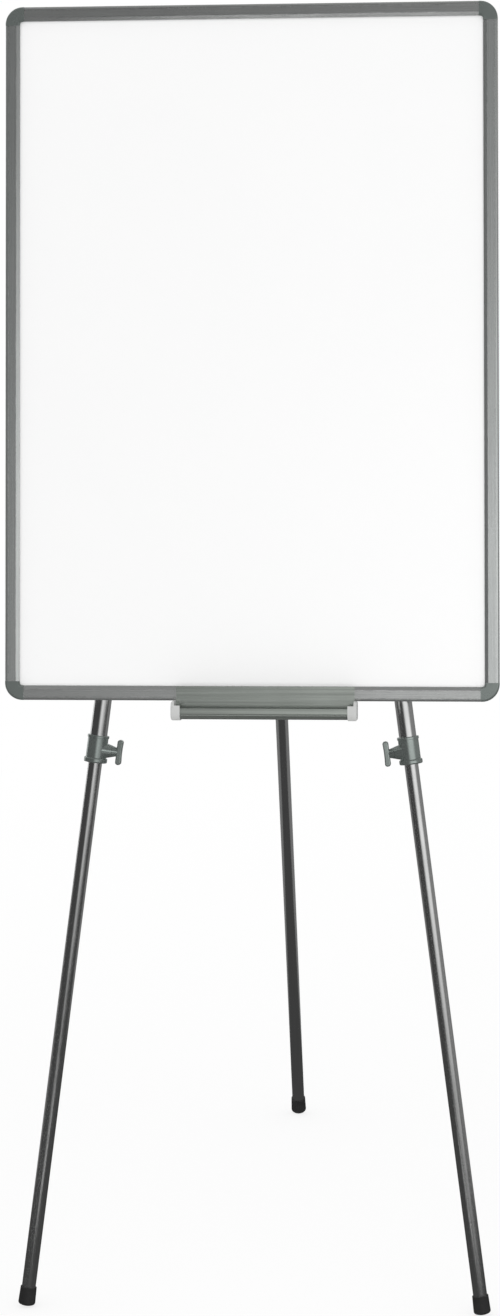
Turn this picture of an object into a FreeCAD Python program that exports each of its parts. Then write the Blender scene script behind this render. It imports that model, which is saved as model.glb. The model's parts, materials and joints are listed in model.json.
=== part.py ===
"""A portrait whiteboard on a three-legged telescopic stand.

The board leans back on two splayed front legs. The third leg is hinged to a moulded head behind the top of
the board. Every leg is a thin tube that slides in a thicker one and is held by a collar with a T-screw.

All sizes are in millimetres. The finished stand has +X to the right as seen by the writer, +Y to the back
and +Z up, with its origin on the floor under the middle of its box.

Most pieces are drawn in the board's own frame: x to the right, y from the front face to the back and z up
along the board from its bottom edge. A leg's pieces are drawn in the leg's frame: z runs up along the leg
from the top end of its thick tube. A clamp's pieces are drawn in that frame with the T-screw along +x, and
are then turned about the leg to the side that the screw comes out of.
"""
import FreeCAD
import Part
import math
import os

from FreeCAD import Placement, Rotation, Vector

# Stance of the stand
LEAN = 8.0                  # degrees that the board tips back
OPENING = 27.35             # degrees between the rear leg and the board
FRONT_DRAW = 759.5          # thin tube in sight between collar and foot of a front leg

# Board and its frame
BOARD_W = 710.0
BOARD_H = 1000.0
SHEET_T = 0.5               # lacquered steel writing sheet
CORE_T = 8.0                # core board behind it
BACK_T = 0.5                # backing sheet
FRAME_FACE = 21.0           # width of a rail as seen from the front
FRAME_WALL = 1.6
FRONT_LIP = 5.0             # from the rail's front face to the writing sheet
BACK_LIP = 2.0              # thickness of the flange behind the panel
BACK_LIP_W = 16.0
SLOT_FLOOR = 10.0           # from the rail's outer edge to the floor of the panel slot
PANEL_PLAY = 0.4            # free play of the panel at the floor of the slot
EDGE_ROUND = 4.0            # rounding of the rail's outer front edge
LIP_SLOPE_W = 5.0           # sloped strip beside the writing sheet
LIP_SLOPE_DROP = 3.0
GROOVE_W = 0.8
GROOVE_DEPTH = 0.7
EDGE_STRIP_W = 4.6          # from the outer edge to the outer groove
EDGE_BREAK = 0.5            # small rounding along the edges of an extrusion

# Moulded corner pieces
CORNER_ROUND = 25.0
CORNER_INNER_ROUND = 4.0
CORNER_TAIL = 2.0           # straight part of a corner beyond its rounds
CORNER_PROUD = 0.5          # the corner stands this far in front of the rails
CORNER_EDGE_ROUND = 3.2
CORNER_BEVEL = 2.6
SPIGOT_LENGTH = 25.0
SPIGOT_PLAY = 0.1
CORNER_SCREW_IN = 12.0      # from the end of a rail to its screw

# Pen tray
TRAY_ROOM = 54.4            # free rail between the tray, when it is centred, and each saddle
TRAY_OFFSET = 21.0          # the tray is pushed this far to the right of the middle
TRAY_PLAY = 0.3             # between the tray and the rail that it slides on
TRAY_WALL = 1.5
TRAY_DEPTH = 32.0           # how far the tray stands in front of the rail
TRAY_DROP = 25.0            # how far the tray hangs below the board
TRAY_LIP = 16.0             # height of the tray's front wall
TRAY_ROUND = 7.0            # inside rounding between floor and front wall
TRAY_BACK_ROUND = 3.5       # inside rounding between floor and back plate
TRAY_HOOK = 7.0             # height of the hook behind the bottom rail
CAP_WALL = 1.5
CAP_END = 4.7               # thickness of the cap beyond the end of the tray
CAP_SKIRT = 8.5             # how far the cap reaches over the tray
CAP_RISE = 1.0              # top of the cap above the board's bottom edge
CAP_ROUND = 12.0            # rounding of the cap's upper front
CAP_EDGE = 3.0              # rounding along the edges of its end
CAP_PLAY = 0.05

# Tubes
UPPER_D = 25.0
UPPER_WALL = 1.2
LOWER_D = 20.0
LOWER_WALL = 1.0
TUBE_BELOW_BOARD = 66.6     # how far the thick tube of a front leg ends below the board
REAR_TUBE_BELOW = 99.0      # how far the rear one ends below the board when it is folded against it
TUBE_OVERLAP = 144.8        # least length of a thin tube that stays inside its leg
SLIDE_PLAY = 0.2            # radial play of the guide bush in the thick tube
FIT_PLAY = 0.05             # radial play of a fixed fit

# Clamp collar with its T-screw
COLLAR_LENGTH = 39.5
COLLAR_WALL = 2.2           # round the thick tube
COLLAR_FLANGE = 0.9         # how far the upper flange stands out
COLLAR_FLANGE_H = 4.0
COLLAR_RIM = 1.0            # rounding of the upper flange's rim
COLLAR_BEAD = 2.0           # how far the lower bead stands out
COLLAR_BEAD_H = 7.0
COLLAR_BEAD_ROUND = 1.8
COLLAR_GRIP = 15.0          # depth of the collar's upper bore, which takes the thick tube
COLLAR_BORE_PLAY = 0.25     # radial play of the thin tube in the collar
BOSS_D = 17.0               # at its outer face
BOSS_FLARE = 0.27           # how fast its radius grows towards the collar
BOSS_OUT = 7.25             # from the side of the collar to the outer face of the boss
INSERT_D = 12.0
INSERT_SEAT = 1.25          # plastic between the thin tube's bore and the insert
INSERT_SUNK = 0.5           # from the outer face of the boss to the insert
STUD_D = 8.0
STUD_PLAY = 0.1
STUD_CHAMFER = 1.0
STUD_TIP_GAP = 0.3          # from the loosened screw's tip to the thin tube
SCREW_BELOW_TUBE = 6.0      # from the end of the thick tube down to the screw's axis
KNOB_GAP = 0.4
KNOB_NECK_D = 16.5
KNOB_NECK_TOP_D = 11.8
KNOB_NECK_LENGTH = 6.6
KNOB_BAR_LENGTH = 36.0
KNOB_BAR_T = 8.4            # at its ends
KNOB_WAIST = 1.0            # how much thinner the bar is in its middle
KNOB_WAIST_ROUND = 150.0
KNOB_BAR_W = 12.0
KNOB_BAR_ROUND = 3.6        # rounding of the bar's ends
KNOB_ROUND = 1.6
STUD_IN_BAR = 4.5           # how deep the stud is moulded into the bar

# Guide bush on top of a thin tube
BUSH_HEAD = 12.0
BUSH_SPIGOT = 20.0
BUSH_WALL = 2.95
BUSH_CHAMFER = 1.0

# Rubber foot
FOOT_WALL = 1.55            # rubber round the tube at the foot's top
FOOT_SWELL = 0.65           # how much wider the foot is near the floor, on each side
FOOT_RIM = 0.8              # bevel of the foot's top rim
FOOT_HEIGHT = 28.0
FOOT_FLOOR = 6.0            # rubber under the end of the tube
FOOT_DOME_R = 24.0          # radius of the domed sole
FOOT_SOLE_IN = 2.25         # from the side of the foot in to the domed part
FOOT_SIDE_START = 5.5       # height at which the side begins
FOOT_BULGE = 0.35           # share of the rounding between sole and side at which it bulges most

# Head that carries the legs
HEAD_HALF = 90.5            # from the middle to the top end of a front leg
LEG_BELOW_TOP = 15.0        # from the board's top edge to that end
HEAD_PLATE = 6.0
HEAD_HEIGHT = 82.5
HEAD_TOP_GAP = 1.5          # the head ends this far below the board's top edge
HEAD_SIDE = 34.0            # plate beyond the axis of a front leg
HEAD_ROUND = 10.0
SOCKET_WALL = 3.5
SOCKET_DEPTH = 64.0
SOCKET_CAP = 4.0            # wall over the end of the tube
RIB_T = 3.0
RIB_DEPTH = 9.0
RIB_COUNT = 2               # upright ribs on each side of the hinge

# Rear hinge
HINGE_BELOW_TOP = 50.0      # from the board's top edge to the hinge axis
HINGE_REACH = 18.0          # from the plate's back to the hinge axis
KNUCKLE_FLAT = 0.35         # flat ground off each side of the knuckle's socket
KNUCKLE_R = 14.0
HINGE_SIDE_PLAY = 0.3
EAR_T = 6.0
EAR_ROOT_HALF = 24.0        # half of the ear's height at the plate
PIN_D = 8.0
PIN_PLAY = 0.05
PIN_HEAD_D = 14.0
PIN_HEAD_H = 5.0
NUT_D = 14.4
NUT_H = 6.5
STOP_GAP = 0.3              # between the knuckle's stop face and the plate when the leg is open
STOP_TOP = 22.0             # height of the stop face over the hinge axis
STOP_BACK = 4.0
HINGE_DROP = 24.0           # from the hinge axis to the top of the rear tube
KNUCKLE_SOCKET = 56.0       # depth of the rear tube in the knuckle

# Saddles that hold the front legs to the bottom rail
SADDLE_FROM_SIDE = 139.6    # from the side of the board to the leg that the saddle holds
SADDLE_H = 15.0
SADDLE_Z = 8.0
SADDLE_W = 66.0
SADDLE_PLATE = 4.2          # thickness of the plate against the rail
SADDLE_WALL = 3.5           # round the tube
SADDLE_ROUND = 3.0
SADDLE_SCREW_EDGE = 8.0     # from the end of a saddle to its screw

# Screws
SCREW_D = 4.0
SCREW_HEAD_D = 7.2
SCREW_HEAD_H = 2.4
SCREW_LENGTH = 12.0
SMALL_SCREW_D = 3.0
SMALL_SCREW_HEAD_D = 5.6
SMALL_SCREW_HEAD_H = 1.8
SMALL_SCREW_LENGTH = 9.0
SCREW_PLAY = 0.1
SCREW_CROWN = 0.6           # share of the head's height that is rounded
SCREW_HOLE_LEAD = 1.0       # a hole starts this far before the surface
SCREW_HOLE_PAST = 0.5       # and ends this far past the screw's tip
RAIL_SCREW_IN = 6.0         # from a rail's outer edge to the screws in it
HEAD_SCREW_EDGE = 8.0       # from the side of the head to its outer screws
HEAD_SCREW_IN = 45.0        # from the middle to its inner screws

# Sizes that follow from those above
PANEL_T = SHEET_T + CORE_T + BACK_T
SLOT_BACK = FRONT_LIP + PANEL_T
FRAME_DEPTH = SLOT_BACK + BACK_LIP
CORNER_LEG = max(CORNER_ROUND, FRAME_FACE + CORNER_INNER_ROUND) + CORNER_TAIL
PANEL_INSET = SLOT_FLOOR + PANEL_PLAY
UPPER_R = UPPER_D / 2
LOWER_R = LOWER_D / 2
COLLAR_R = UPPER_R + FIT_PLAY + COLLAR_WALL
BOSS_END = COLLAR_R + BOSS_OUT
BOSS_START = COLLAR_R / 2
BOSS_ROOT_R = BOSS_D / 2 + BOSS_FLARE * (BOSS_END - BOSS_START)
INSERT_START = LOWER_R + COLLAR_BORE_PLAY + INSERT_SEAT
INSERT_END = BOSS_END - INSERT_SUNK
KNOB_START = BOSS_END + KNOB_GAP
FOOT_BORE_R = LOWER_R + FIT_PLAY
FOOT_TOP_R = FOOT_BORE_R + FOOT_WALL
FOOT_R = FOOT_TOP_R + FOOT_SWELL
SOCKET_R = UPPER_R + FIT_PLAY + SOCKET_WALL
KNUCKLE_W = 2 * (SOCKET_R - KNUCKLE_FLAT)
EAR_GAP = KNUCKLE_W / 2 + HINGE_SIDE_PLAY
EAR_END = EAR_GAP + EAR_T
LEG_Y = FRAME_DEPTH + SOCKET_R
LEG_TOP = BOARD_H - LEG_BELOW_TOP
HEAD_TOP = BOARD_H - HEAD_TOP_GAP
HEAD_BOTTOM = HEAD_TOP - HEAD_HEIGHT
HEAD_END = HEAD_HALF + HEAD_SIDE
HEAD_SCREW_OUT = HEAD_END - HEAD_SCREW_EDGE
HEAD_SCREWS = (-HEAD_SCREW_OUT, -HEAD_SCREW_IN, HEAD_SCREW_IN, HEAD_SCREW_OUT)
PLATE_BACK = FRAME_DEPTH + HEAD_PLATE
HINGE_Y = PLATE_BACK + HINGE_REACH
HINGE_Z = BOARD_H - HINGE_BELOW_TOP
SADDLE_SCREW_HALF = SADDLE_W / 2 - SADDLE_SCREW_EDGE
SADDLE_X = BOARD_W / 2 - SADDLE_FROM_SIDE
TRAY_LENGTH = 2 * (SADDLE_X - SADDLE_W / 2 - TRAY_ROOM)
SPLAY_RAD = math.atan2(SADDLE_X - HEAD_HALF, LEG_TOP - SADDLE_Z)
SPLAY = math.degrees(SPLAY_RAD)
UPPER_LENGTH = (LEG_TOP + TUBE_BELOW_BOARD) / math.cos(SPLAY_RAD)
REAR_UPPER_LENGTH = HINGE_Z - HINGE_DROP + REAR_TUBE_BELOW
COLLAR_TO_DOME = COLLAR_LENGTH - COLLAR_GRIP + FOOT_HEIGHT - FOOT_DOME_R
FRONT_REACH = UPPER_LENGTH + COLLAR_TO_DOME + FRONT_DRAW
OUT = "parts"


def turned(axis, degrees):
    """Placement that only turns."""
    return Placement(Vector(0, 0, 0), Rotation(axis, degrees))


def moved(x, y, z):
    """Placement that only moves."""
    return Placement(Vector(x, y, z), Rotation())


X_AXIS = Vector(1, 0, 0)
Y_AXIS = Vector(0, 1, 0)
Z_AXIS = Vector(0, 0, 1)

# The stance: the front feet set the board's height, and the rear leg is drawn out to meet the floor
LEAN_RAD = math.radians(LEAN)
REAR_TILT = math.radians(OPENING - LEAN)
FRONT_DOME_Z = LEG_TOP - FRONT_REACH * math.cos(SPLAY_RAD)
BOARD_BASE_Z = FOOT_DOME_R + LEG_Y * math.sin(LEAN_RAD) - FRONT_DOME_Z * math.cos(LEAN_RAD)
FRONT_FOOT_Y = LEG_Y * math.cos(LEAN_RAD) + FRONT_DOME_Z * math.sin(LEAN_RAD)
HINGE_HEIGHT = BOARD_BASE_Z - HINGE_Y * math.sin(LEAN_RAD) + HINGE_Z * math.cos(LEAN_RAD)
REAR_REACH = (HINGE_HEIGHT - FOOT_DOME_R) / math.cos(REAR_TILT)
REAR_FOOT_Y = HINGE_Y * math.cos(LEAN_RAD) + HINGE_Z * math.sin(LEAN_RAD) + REAR_REACH * math.sin(REAR_TILT)
REAR_DRAW = REAR_REACH - HINGE_DROP - REAR_UPPER_LENGTH - COLLAR_TO_DOME
LONGEST_DRAW = max(FRONT_DRAW, REAR_DRAW)
LOWER_LENGTH = TUBE_OVERLAP + COLLAR_LENGTH - COLLAR_GRIP + LONGEST_DRAW + FOOT_HEIGHT - FOOT_FLOOR
BOARD_BASE_Y = -(FRONT_FOOT_Y + REAR_FOOT_Y) / 2

BOARD = moved(0, BOARD_BASE_Y, BOARD_BASE_Z).multiply(turned(X_AXIS, -LEAN))
LEFT_LEG_ON_BOARD = moved(-HEAD_HALF, LEG_Y, LEG_TOP).multiply(turned(Y_AXIS, SPLAY))
RIGHT_LEG_ON_BOARD = moved(HEAD_HALF, LEG_Y, LEG_TOP).multiply(turned(Y_AXIS, -SPLAY))
REAR_HINGE_ON_BOARD = moved(0, HINGE_Y, HINGE_Z).multiply(turned(X_AXIS, OPENING))
LEFT_LEG = BOARD.multiply(LEFT_LEG_ON_BOARD)
RIGHT_LEG = BOARD.multiply(RIGHT_LEG_ON_BOARD)
REAR_HINGE = BOARD.multiply(REAR_HINGE_ON_BOARD)
REAR_LEG = REAR_HINGE.multiply(moved(0, 0, -HINGE_DROP))

# Degrees that each clamp is turned about its leg: the front screws point inwards and the rear one backwards
LEFT_CLAMP_TURN = 0.0
RIGHT_CLAMP_TURN = 180.0
REAR_CLAMP_TURN = 90.0


def placed(shape, placement):
    """Copy of a shape moved from its own frame into its parent's."""
    copy = shape.copy()
    copy.Placement = placement.multiply(copy.Placement)
    return copy


def save(node, shape, placement):
    """Write one node in the stand's frame."""
    body = placed(shape, placement)
    body.exportStep(os.path.join(OUT, node + ".step"))
    print(node, len(body.Solids), round(body.Volume / 1000, 2), "cm3", body.isValid())


def box(x0, x1, y0, y1, z0, z1):
    """Block between two corners."""
    return Part.makeBox(x1 - x0, y1 - y0, z1 - z0, Vector(x0, y0, z0))


def rod(radius, start, end):
    """Solid cylinder between two points."""
    line = Vector(*end) - Vector(*start)
    return Part.makeCylinder(radius, line.Length, Vector(*start), line)


def cone(radius_start, radius_end, start, end):
    """Cone between two points."""
    line = Vector(*end) - Vector(*start)
    return Part.makeCone(radius_start, radius_end, line.Length, Vector(*start), line)


def outline(corners, to_space):
    """Face with straight sides and rounded corners, from rows of a, b and radius."""
    count = len(corners)
    rounds = []
    for i in range(count):
        a, b, radius = corners[i]
        here = Vector(a, b, 0)
        back = (Vector(corners[i - 1][0], corners[i - 1][1], 0) - here).normalize()
        ahead = (Vector(corners[(i + 1) % count][0], corners[(i + 1) % count][1], 0) - here).normalize()
        if radius == 0:
            rounds.append((here, None, here))
            continue
        half = back.getAngle(ahead) / 2
        inward = (back + ahead).normalize()
        reach = radius / math.tan(half)
        middle = here + inward * (radius / math.sin(half) - radius)
        rounds.append((here + back * reach, middle, here + ahead * reach))
    edges = []
    for i in range(count):
        start, middle, end = rounds[i]
        if middle is not None:
            edges.append(Part.Arc(to_space(start), to_space(middle), to_space(end)).toShape())
        following = rounds[(i + 1) % count][0]
        if (following - end).Length > 1e-6:
            edges.append(Part.LineSegment(to_space(end), to_space(following)).toShape())
    return Part.Face(Part.Wire(edges))


def section_yz(x):
    """Drawing plane across the board's width: a is depth and b is height."""
    return lambda point: Vector(x, point.x, point.y)


def section_xz(y):
    """Drawing plane along the board's face: a is width and b is height."""
    return lambda point: Vector(point.x, y, point.y)


def screw(point, direction, diameter, length, head_d, head_h):
    """Screw with a rounded head that sits on the point and a shank that runs along the direction."""
    shank = Part.makeCylinder(diameter / 2, length, Vector(0, 0, 0), Z_AXIS)
    head = Part.makeCylinder(head_d / 2, head_h, Vector(0, 0, -head_h), Z_AXIS)
    crown = [e for e in head.Edges if abs(e.CenterOfMass.z + head_h) < 1e-6 and len(e.Vertexes) == 1]
    head = head.makeFillet(head_h * SCREW_CROWN, crown)
    whole = shank.fuse(head)
    whole.Placement = Placement(Vector(*point), Rotation(Z_AXIS, Vector(*direction)))
    return whole


def large_screw(point, direction):
    """Screw of the size that holds the head and the saddles."""
    return screw(point, direction, SCREW_D, SCREW_LENGTH, SCREW_HEAD_D, SCREW_HEAD_H)


def small_screw(point, direction):
    """Screw of the size that holds the corners and the tube ends."""
    return screw(point, direction, SMALL_SCREW_D, SMALL_SCREW_LENGTH, SMALL_SCREW_HEAD_D, SMALL_SCREW_HEAD_H)


def screw_hole(point, direction, diameter, length):
    """Clearance hole for a screw that starts a little before the point."""
    run = Vector(*direction).normalize()
    start = Vector(*point) - run * SCREW_HOLE_LEAD
    depth = SCREW_HOLE_LEAD + length + SCREW_HOLE_PAST
    return Part.makeCylinder(diameter / 2 + SCREW_PLAY, depth, start, run)


# Panel

def panel_layer(front, thickness):
    """One flat layer of the panel."""
    half = BOARD_W / 2 - PANEL_INSET
    return box(-half, half, front, front + thickness, PANEL_INSET, BOARD_H - PANEL_INSET)


# Frame

def edge_placement(side):
    """Turns a rail drawn along the bottom edge onto one side of the board."""
    if side == "bottom":
        return moved(0, 0, 0)
    if side == "top":
        return moved(0, 0, BOARD_H).multiply(turned(Y_AXIS, 180))
    if side == "left":
        return moved(-BOARD_W / 2, 0, BOARD_H / 2).multiply(turned(Y_AXIS, 90))
    return moved(BOARD_W / 2, 0, BOARD_H / 2).multiply(turned(Y_AXIS, -90))


def groove(at):
    """Corners of a shallow groove in the rail's face."""
    return [(0, at, 0), (GROOVE_DEPTH, at, 0), (GROOVE_DEPTH, at + GROOVE_W, 0), (0, at + GROOVE_W, 0)]


def chamber(play):
    """Corners of the hollow chamber behind the rail's outer edge, or of a spigot with some play in it."""
    low = FRAME_WALL + play
    high = SLOT_FLOOR - FRAME_WALL - play
    deep = FRAME_DEPTH - FRAME_WALL - play
    cut = EDGE_ROUND / 2
    return [(low + cut, low, 0), (deep, low, 0), (deep, high, 0), (low, high, 0), (low, low + cut, 0)]


def rail(length):
    """Extruded rail along the bottom edge, centred on the middle."""
    inner_groove = FRAME_FACE - LIP_SLOPE_W - GROOVE_W
    corners = [(FRAME_DEPTH, 0, EDGE_BREAK), (0, 0, EDGE_ROUND)]
    corners += groove(EDGE_STRIP_W) + groove(inner_groove)
    corners += [(LIP_SLOPE_DROP, FRAME_FACE, EDGE_BREAK), (FRONT_LIP, FRAME_FACE, EDGE_BREAK)]
    corners += [(FRONT_LIP, SLOT_FLOOR, 0), (SLOT_BACK, SLOT_FLOOR, 0)]
    corners += [(SLOT_BACK, BACK_LIP_W, EDGE_BREAK), (FRAME_DEPTH, BACK_LIP_W, EDGE_BREAK)]
    plane = section_yz(-length / 2)
    body = outline(corners, plane).extrude(Vector(length, 0, 0))
    return body.cut(outline(chamber(0), plane).extrude(Vector(length, 0, 0)))


def corner_screw_points(length):
    """Where the two corner screws enter the back of a rail of this length."""
    reach = length / 2 - CORNER_SCREW_IN
    return [(side * reach, FRAME_DEPTH, SLOT_FLOOR / 2) for side in (-1, 1)]


def drilled_rail(length, back_holes):
    """Rail with the holes that its screws need."""
    body = rail(length)
    for point in corner_screw_points(length):
        body = body.cut(screw_hole(point, (0, -1, 0), SMALL_SCREW_D, FRAME_WALL))
    for x in back_holes:
        body = body.cut(screw_hole((x, FRAME_DEPTH, RAIL_SCREW_IN), (0, -1, 0), SCREW_D, FRAME_WALL))
    return body


def corner_piece():
    """Moulded corner, drawn at the bottom left with the board's corner at the origin."""
    face = FRAME_FACE
    plan = [(CORNER_LEG, 0, 0), (0, 0, CORNER_ROUND), (0, CORNER_LEG, 0), (face, CORNER_LEG, 0)]
    plan += [(face, face, CORNER_INNER_ROUND), (CORNER_LEG, face, 0)]
    body = outline(plan, section_xz(-CORNER_PROUD)).extrude(Vector(0, FRAME_DEPTH + CORNER_PROUD, 0))
    front = [e for e in body.Edges if all(abs(v.Y + CORNER_PROUD) < 1e-6 for v in e.Vertexes)]
    outer = [e for e in front if min(e.CenterOfMass.x, e.CenterOfMass.z) < face / 2
             and max(e.CenterOfMass.x, e.CenterOfMass.z) < CORNER_LEG - 1e-3]
    body = body.makeFillet(CORNER_EDGE_ROUND, outer)
    front = [e for e in body.Edges if all(abs(v.Y + CORNER_PROUD) < 1e-6 for v in e.Vertexes)]
    inner = [e for e in front if min(e.CenterOfMass.x, e.CenterOfMass.z) > face - CORNER_INNER_ROUND / 2
             and max(e.CenterOfMass.x, e.CenterOfMass.z) < CORNER_LEG - 1e-3]
    body = body.makeChamfer(CORNER_BEVEL, inner)
    body = body.cut(box(SLOT_FLOOR, CORNER_LEG, FRONT_LIP, SLOT_BACK, SLOT_FLOOR, CORNER_LEG))
    body = body.cut(box(BACK_LIP_W, CORNER_LEG, SLOT_BACK, FRAME_DEPTH, BACK_LIP_W, CORNER_LEG))
    return body.fuse(corner_spigots()).removeSplitter()


def corner_spigots():
    """The two tongues that reach into the chambers of the rails, with their screw holes."""
    along = outline(chamber(SPIGOT_PLAY), section_yz(CORNER_LEG)).extrude(Vector(SPIGOT_LENGTH, 0, 0))
    hole = (CORNER_LEG + CORNER_SCREW_IN, FRAME_DEPTH, SLOT_FLOOR / 2)
    along = along.cut(screw_hole(hole, (0, -1, 0), SMALL_SCREW_D, SMALL_SCREW_LENGTH))
    return along.fuse(along.mirror(Vector(0, 0, 0), Vector(1, 0, -1)))


def corner_placements():
    """The four corners as the bottom left one mirrored left to right and upside down."""
    left, top = -BOARD_W / 2, BOARD_H
    low_left = placed(corner_piece(), moved(left, 0, 0))
    low_right = low_left.mirror(Vector(0, 0, 0), X_AXIS)
    middle = Vector(0, 0, top / 2)
    return {"corner_bottom_left": low_left, "corner_bottom_right": low_right,
            "corner_top_left": low_left.mirror(middle, Z_AXIS),
            "corner_top_right": low_right.mirror(middle, Z_AXIS)}


# Pen tray

def tray():
    """Extruded tray in its own frame: a back plate, a trough and a hook that grips the bottom rail."""
    floor = TRAY_WALL - TRAY_DROP
    lip_top = TRAY_LIP - TRAY_DROP
    front = -TRAY_DEPTH
    foot_low = -TRAY_PLAY - TRAY_WALL
    hook = FRAME_DEPTH + 2 * TRAY_PLAY
    corners = [(0, FRAME_FACE, EDGE_BREAK), (-TRAY_WALL, FRAME_FACE, EDGE_BREAK)]
    corners += [(-TRAY_WALL, floor, TRAY_BACK_ROUND), (front + TRAY_WALL, floor, TRAY_ROUND)]
    corners += [(front + TRAY_WALL, lip_top, EDGE_BREAK), (front, lip_top, EDGE_BREAK)]
    corners += [(front, -TRAY_DROP, TRAY_ROUND + TRAY_WALL), (0, -TRAY_DROP, TRAY_BACK_ROUND + TRAY_WALL)]
    corners += [(0, foot_low, 0), (hook + TRAY_WALL, foot_low, TRAY_WALL)]
    corners += [(hook + TRAY_WALL, TRAY_HOOK, EDGE_BREAK), (hook, TRAY_HOOK, EDGE_BREAK)]
    corners += [(hook, -TRAY_PLAY, 0), (0, -TRAY_PLAY, 0)]
    return outline(corners, section_yz(-TRAY_LENGTH / 2)).extrude(Vector(TRAY_LENGTH, 0, 0))


def tray_cap():
    """Moulded cap on the right end of the tray: an end wall and a skirt round the trough."""
    grow = CAP_WALL + CAP_PLAY
    low = -TRAY_DROP - grow
    front = -TRAY_DEPTH - grow
    rear_round = TRAY_BACK_ROUND + TRAY_WALL
    front_round = TRAY_ROUND + TRAY_WALL
    outside = [(0, CAP_RISE, EDGE_BREAK), (front, CAP_RISE, CAP_ROUND), (front, low, front_round + grow)]
    outside += [(0, low, rear_round + grow)]
    start = TRAY_LENGTH / 2 - CAP_SKIRT
    run = CAP_SKIRT + CAP_END
    body = outline(outside, section_yz(start)).extrude(Vector(run, 0, 0))
    end = [e for e in body.Edges if all(abs(v.X - start - run) < 1e-6 for v in e.Vertexes)]
    body = body.makeFillet(CAP_EDGE, [e for e in end if e.CenterOfMass.y < -1e-3])
    reach = TRAY_DEPTH + CAP_PLAY
    drop = TRAY_DROP + CAP_PLAY
    above = CAP_RISE + CAP_WALL
    below_hook = -TRAY_PLAY - 2 * TRAY_WALL
    inside = [(CAP_WALL, above, 0), (-reach, above, 0), (-reach, -drop, front_round + CAP_PLAY)]
    inside += [(0, -drop, rear_round + CAP_PLAY), (0, below_hook, 0), (CAP_WALL, below_hook, 0)]
    return body.cut(outline(inside, section_yz(start)).extrude(Vector(CAP_SKIRT, 0, 0)))


# Leg pieces

def tube(diameter, wall, length, top):
    """Tube that hangs down from the height top on the leg's axis."""
    outer = rod(diameter / 2, (0, 0, top - length), (0, 0, top))
    return outer.cut(rod(diameter / 2 - wall, (0, 0, top - length), (0, 0, top)))


def upper_tube(length):
    """Thick tube, with its top end at the leg's origin and a hole for the screw that holds it."""
    body = tube(UPPER_D, UPPER_WALL, length, 0)
    point, direction = tube_screw()
    return body.cut(screw_hole(point, direction, SMALL_SCREW_D, SMALL_SCREW_LENGTH))


def tube_screw():
    """Where the screw that holds a thick tube's top end enters its socket, in the leg's frame."""
    return (0, SOCKET_R, -SOCKET_DEPTH / 2), (0, -1, 0)


def lower_tube_end(upper_length, draw):
    """Height of the lower end of the thin tube on the leg's axis."""
    return -(upper_length - COLLAR_GRIP + COLLAR_LENGTH + draw + FOOT_HEIGHT - FOOT_FLOOR)


def lower_tube(upper_length, draw):
    """Thin tube, drawn out so that this much of it shows."""
    return tube(LOWER_D, LOWER_WALL, LOWER_LENGTH, lower_tube_end(upper_length, draw) + LOWER_LENGTH)


def screw_axis_z(upper_length):
    """Height of the T-screw on the leg's axis."""
    return -upper_length - SCREW_BELOW_TUBE


def collar(upper_length):
    """Moulded collar with a flange at its top, a bead at its bottom and a flared boss for the T-screw."""
    top = COLLAR_GRIP - upper_length
    bottom = top - COLLAR_LENGTH
    lip, bead = COLLAR_R + COLLAR_FLANGE, COLLAR_R + COLLAR_BEAD
    bead_top, lip_low = bottom + COLLAR_BEAD_H, top - COLLAR_FLANGE_H
    profile = [(0, bottom, 0), (bead, bottom, COLLAR_BEAD_ROUND), (bead, bead_top, COLLAR_BEAD_ROUND)]
    profile += [(COLLAR_R, bead_top, 0), (COLLAR_R, lip_low, 0)]
    profile += [(lip, lip_low, COLLAR_RIM / 2), (lip, top, COLLAR_RIM), (0, top, 0)]
    body = outline(profile, section_xz(0)).revolve(Vector(0, 0, 0), Z_AXIS, 360)
    z = screw_axis_z(upper_length)
    body = body.fuse(cone(BOSS_ROOT_R, BOSS_D / 2, (BOSS_START, 0, z), (BOSS_END, 0, z)))
    body = body.cut(rod(UPPER_R + FIT_PLAY, (0, 0, -upper_length), (0, 0, top)))
    body = body.cut(rod(LOWER_R + COLLAR_BORE_PLAY, (0, 0, bottom), (0, 0, top)))
    body = body.cut(rod(STUD_D / 2 + STUD_PLAY, (0, 0, z), (BOSS_END, 0, z)))
    return body.cut(rod(INSERT_D / 2, (INSERT_START, 0, z), (BOSS_END, 0, z)))


def thread_insert(upper_length):
    """Threaded metal insert in the collar's boss."""
    z = screw_axis_z(upper_length)
    body = rod(INSERT_D / 2, (INSERT_START, 0, z), (INSERT_END, 0, z))
    return body.cut(rod(STUD_D / 2 + STUD_PLAY, (INSERT_START, 0, z), (INSERT_END, 0, z)))


def clamp_screw(upper_length):
    """Steel stud of the T-screw, from just off the thin tube into the handle."""
    z = screw_axis_z(upper_length)
    tip = LOWER_R + STUD_TIP_GAP
    end = KNOB_START + KNOB_NECK_LENGTH + STUD_IN_BAR
    body = rod(STUD_D / 2, (tip, 0, z), (end, 0, z))
    edge = [e for e in body.Edges if len(e.Vertexes) == 1 and e.CenterOfMass.x < tip + 1e-6]
    return body.makeChamfer(STUD_CHAMFER, edge)


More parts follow.
